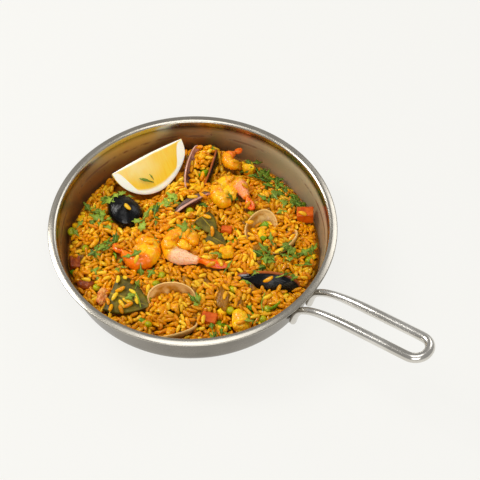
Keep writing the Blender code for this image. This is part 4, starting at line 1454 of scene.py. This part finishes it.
def lay_leaf(maps, draw, x, y, light):
    """One leaf lying on what is under it, or nothing where there is only the pan."""
    outside = hypot(x, y) / SPREAD_RADIUS
    if outside > 1:
        x, y = x / outside, y / outside
    size = draw.uniform(7.0, 13.0) * MM
    yaw = draw.uniform(0, TURN)
    ahead_x, ahead_y = x + 0.8 * size * cos(yaw), y + 0.8 * size * sin(yaw)
    here, ahead = maps.at(x, y), maps.at(ahead_x, ahead_y)
    if here < 0:
        return None
    if ahead < 0 or hypot(ahead_x, ahead_y) > EDGE_RADIUS:
        yaw += pi
        ahead = here
    pitch = clamp(atan((ahead - here) / (0.8 * size)), -0.7, 0.7)
    turn = (draw.normal(0, 0.35), -pitch + draw.normal(-0.1, 0.2), yaw)
    tone = clamp(light + draw.normal(0, 0.2), 0, 1)
    blade = (size * draw.uniform(1.0, 1.5), size * draw.uniform(0.5, 0.9), size)
    return (x, y, here + 0.9 * MM), turn, blade, tone, 0.0


def build_herbs(maps, draw):
    kinds = [[] for _ in PARSLEY_SHAPES]
    for x, y, count, spread, light in TUFTS:
        for _ in range(count):
            place = [value * MM + draw.normal(0, spread * MM * 0.6) for value in (x, y)]
            leaf = lay_leaf(maps, draw, *place, light)
            if leaf:
                kinds[draw.integers(0, 3)].append(leaf)
    for number, (spots, shape) in enumerate(zip(kinds, PARSLEY_SHAPES), 1):
        scatter(f"parsley_{number}", spots, make_parsley(*shape), PARSLEY, "leaf")


# stems: points in mm across the rice
STEMS = (
    ((-58, -64), (-66, -70), (-74, -76)), ((86, 27), (92, 15), (88, 8)),
    ((96, 52), (97, 40), (90, 34)), ((84, 44), (78, 38), (80, 30)),
    ((-62, -44), (-60, -52), (-66, -60)), ((88, -8), (92, -18), (98, -24)),
    ((-2, -80), (6, -84), (12, -88)), ((-98, -24), (-92, -33), (-88, -44)),
)


def build_stems(maps):
    for number, points in enumerate(STEMS, 1):
        spots = [Vector((x * MM, y * MM, maps.at(x * MM, y * MM) + 1.0 * MM)) for x, y in points]
        route = [(point, 0.55 * MM) for point in smooth_line(spots, 6)]
        sweep(f"stem_{number}", round_ends(route, 3), 8, STEM, "leaf")


# ======== setting

def add_holder(name, data, place, turn):
    holder = bpy.data.objects.new(name, data)
    holder.location = place
    holder.rotation_euler = turn
    bpy.context.scene.collection.objects.link(holder)
    return holder


def add_light(name, place, size, power, tint=(1.0, 1.0, 1.0)):
    """A soft square lamp that faces the dish."""
    lamp = bpy.data.lights.new(name, "AREA")
    lamp.shape = "SQUARE"
    lamp.size = size
    lamp.energy = power
    lamp.color = tint
    add_holder(name, lamp, place, Vector(place).to_track_quat("Z", "Y").to_euler())


def build_setting():
    bpy.ops.mesh.primitive_plane_add(size=12)
    floor = bpy.context.object
    floor.name = "floor"
    paper = Finish("floor_paper", Roughness=0.9, Specular_IOR_Level=0.0, Base_Color=rgb(90, 90, 88),
                   Emission_Color=rgb(247, 246, 242), Emission_Strength=0.88)
    floor.data.materials.append(paper.material)
    add_light("key", (-0.886, -0.248, 0.95), 0.5, 9.0, (1.0, 0.99, 0.96))
    add_light("top", (0.05, -0.05, 1.6), 0.8, 5.0)
    add_light("back", (0.1, 1.1, 1.0), 0.6, 2.5)
    add_light("front", (0.75, -0.95, 0.8), 0.8, 6.5)
    world = bpy.data.worlds.new("room")
    bpy.context.scene.world = world
    world.use_nodes = True
    backdrop = world.node_tree.nodes["Background"].inputs
    backdrop["Color"].default_value = (1.0, 0.99, 0.975, 1.0)
    backdrop["Strength"].default_value = 0.38
    bpy.context.scene.view_settings.view_transform = "Standard"


def build_camera():
    camera = bpy.data.cameras.new("view")
    camera.lens = LENS
    camera.sensor_width = 36
    camera.clip_end = 20
    turn = Euler((pi / 2 - VIEW_RISE, 0, VIEW_TURN))
    bpy.context.scene.camera = add_holder("view", camera, turn.to_matrix() @ VIEW_PLACE, turn)


def main():
    draw = np.random.default_rng(SEED)
    build_camera()
    build_setting()
    build_pan()
    build_handle()
    build_toppings()
    maps = Maps()
    build_core(maps)
    build_peas(maps, draw)
    build_pepper_strips(maps)
    build_crumbs(maps, draw)
    build_grains(maps, draw)
    build_herbs(maps, draw)
    build_stems(maps)


main()
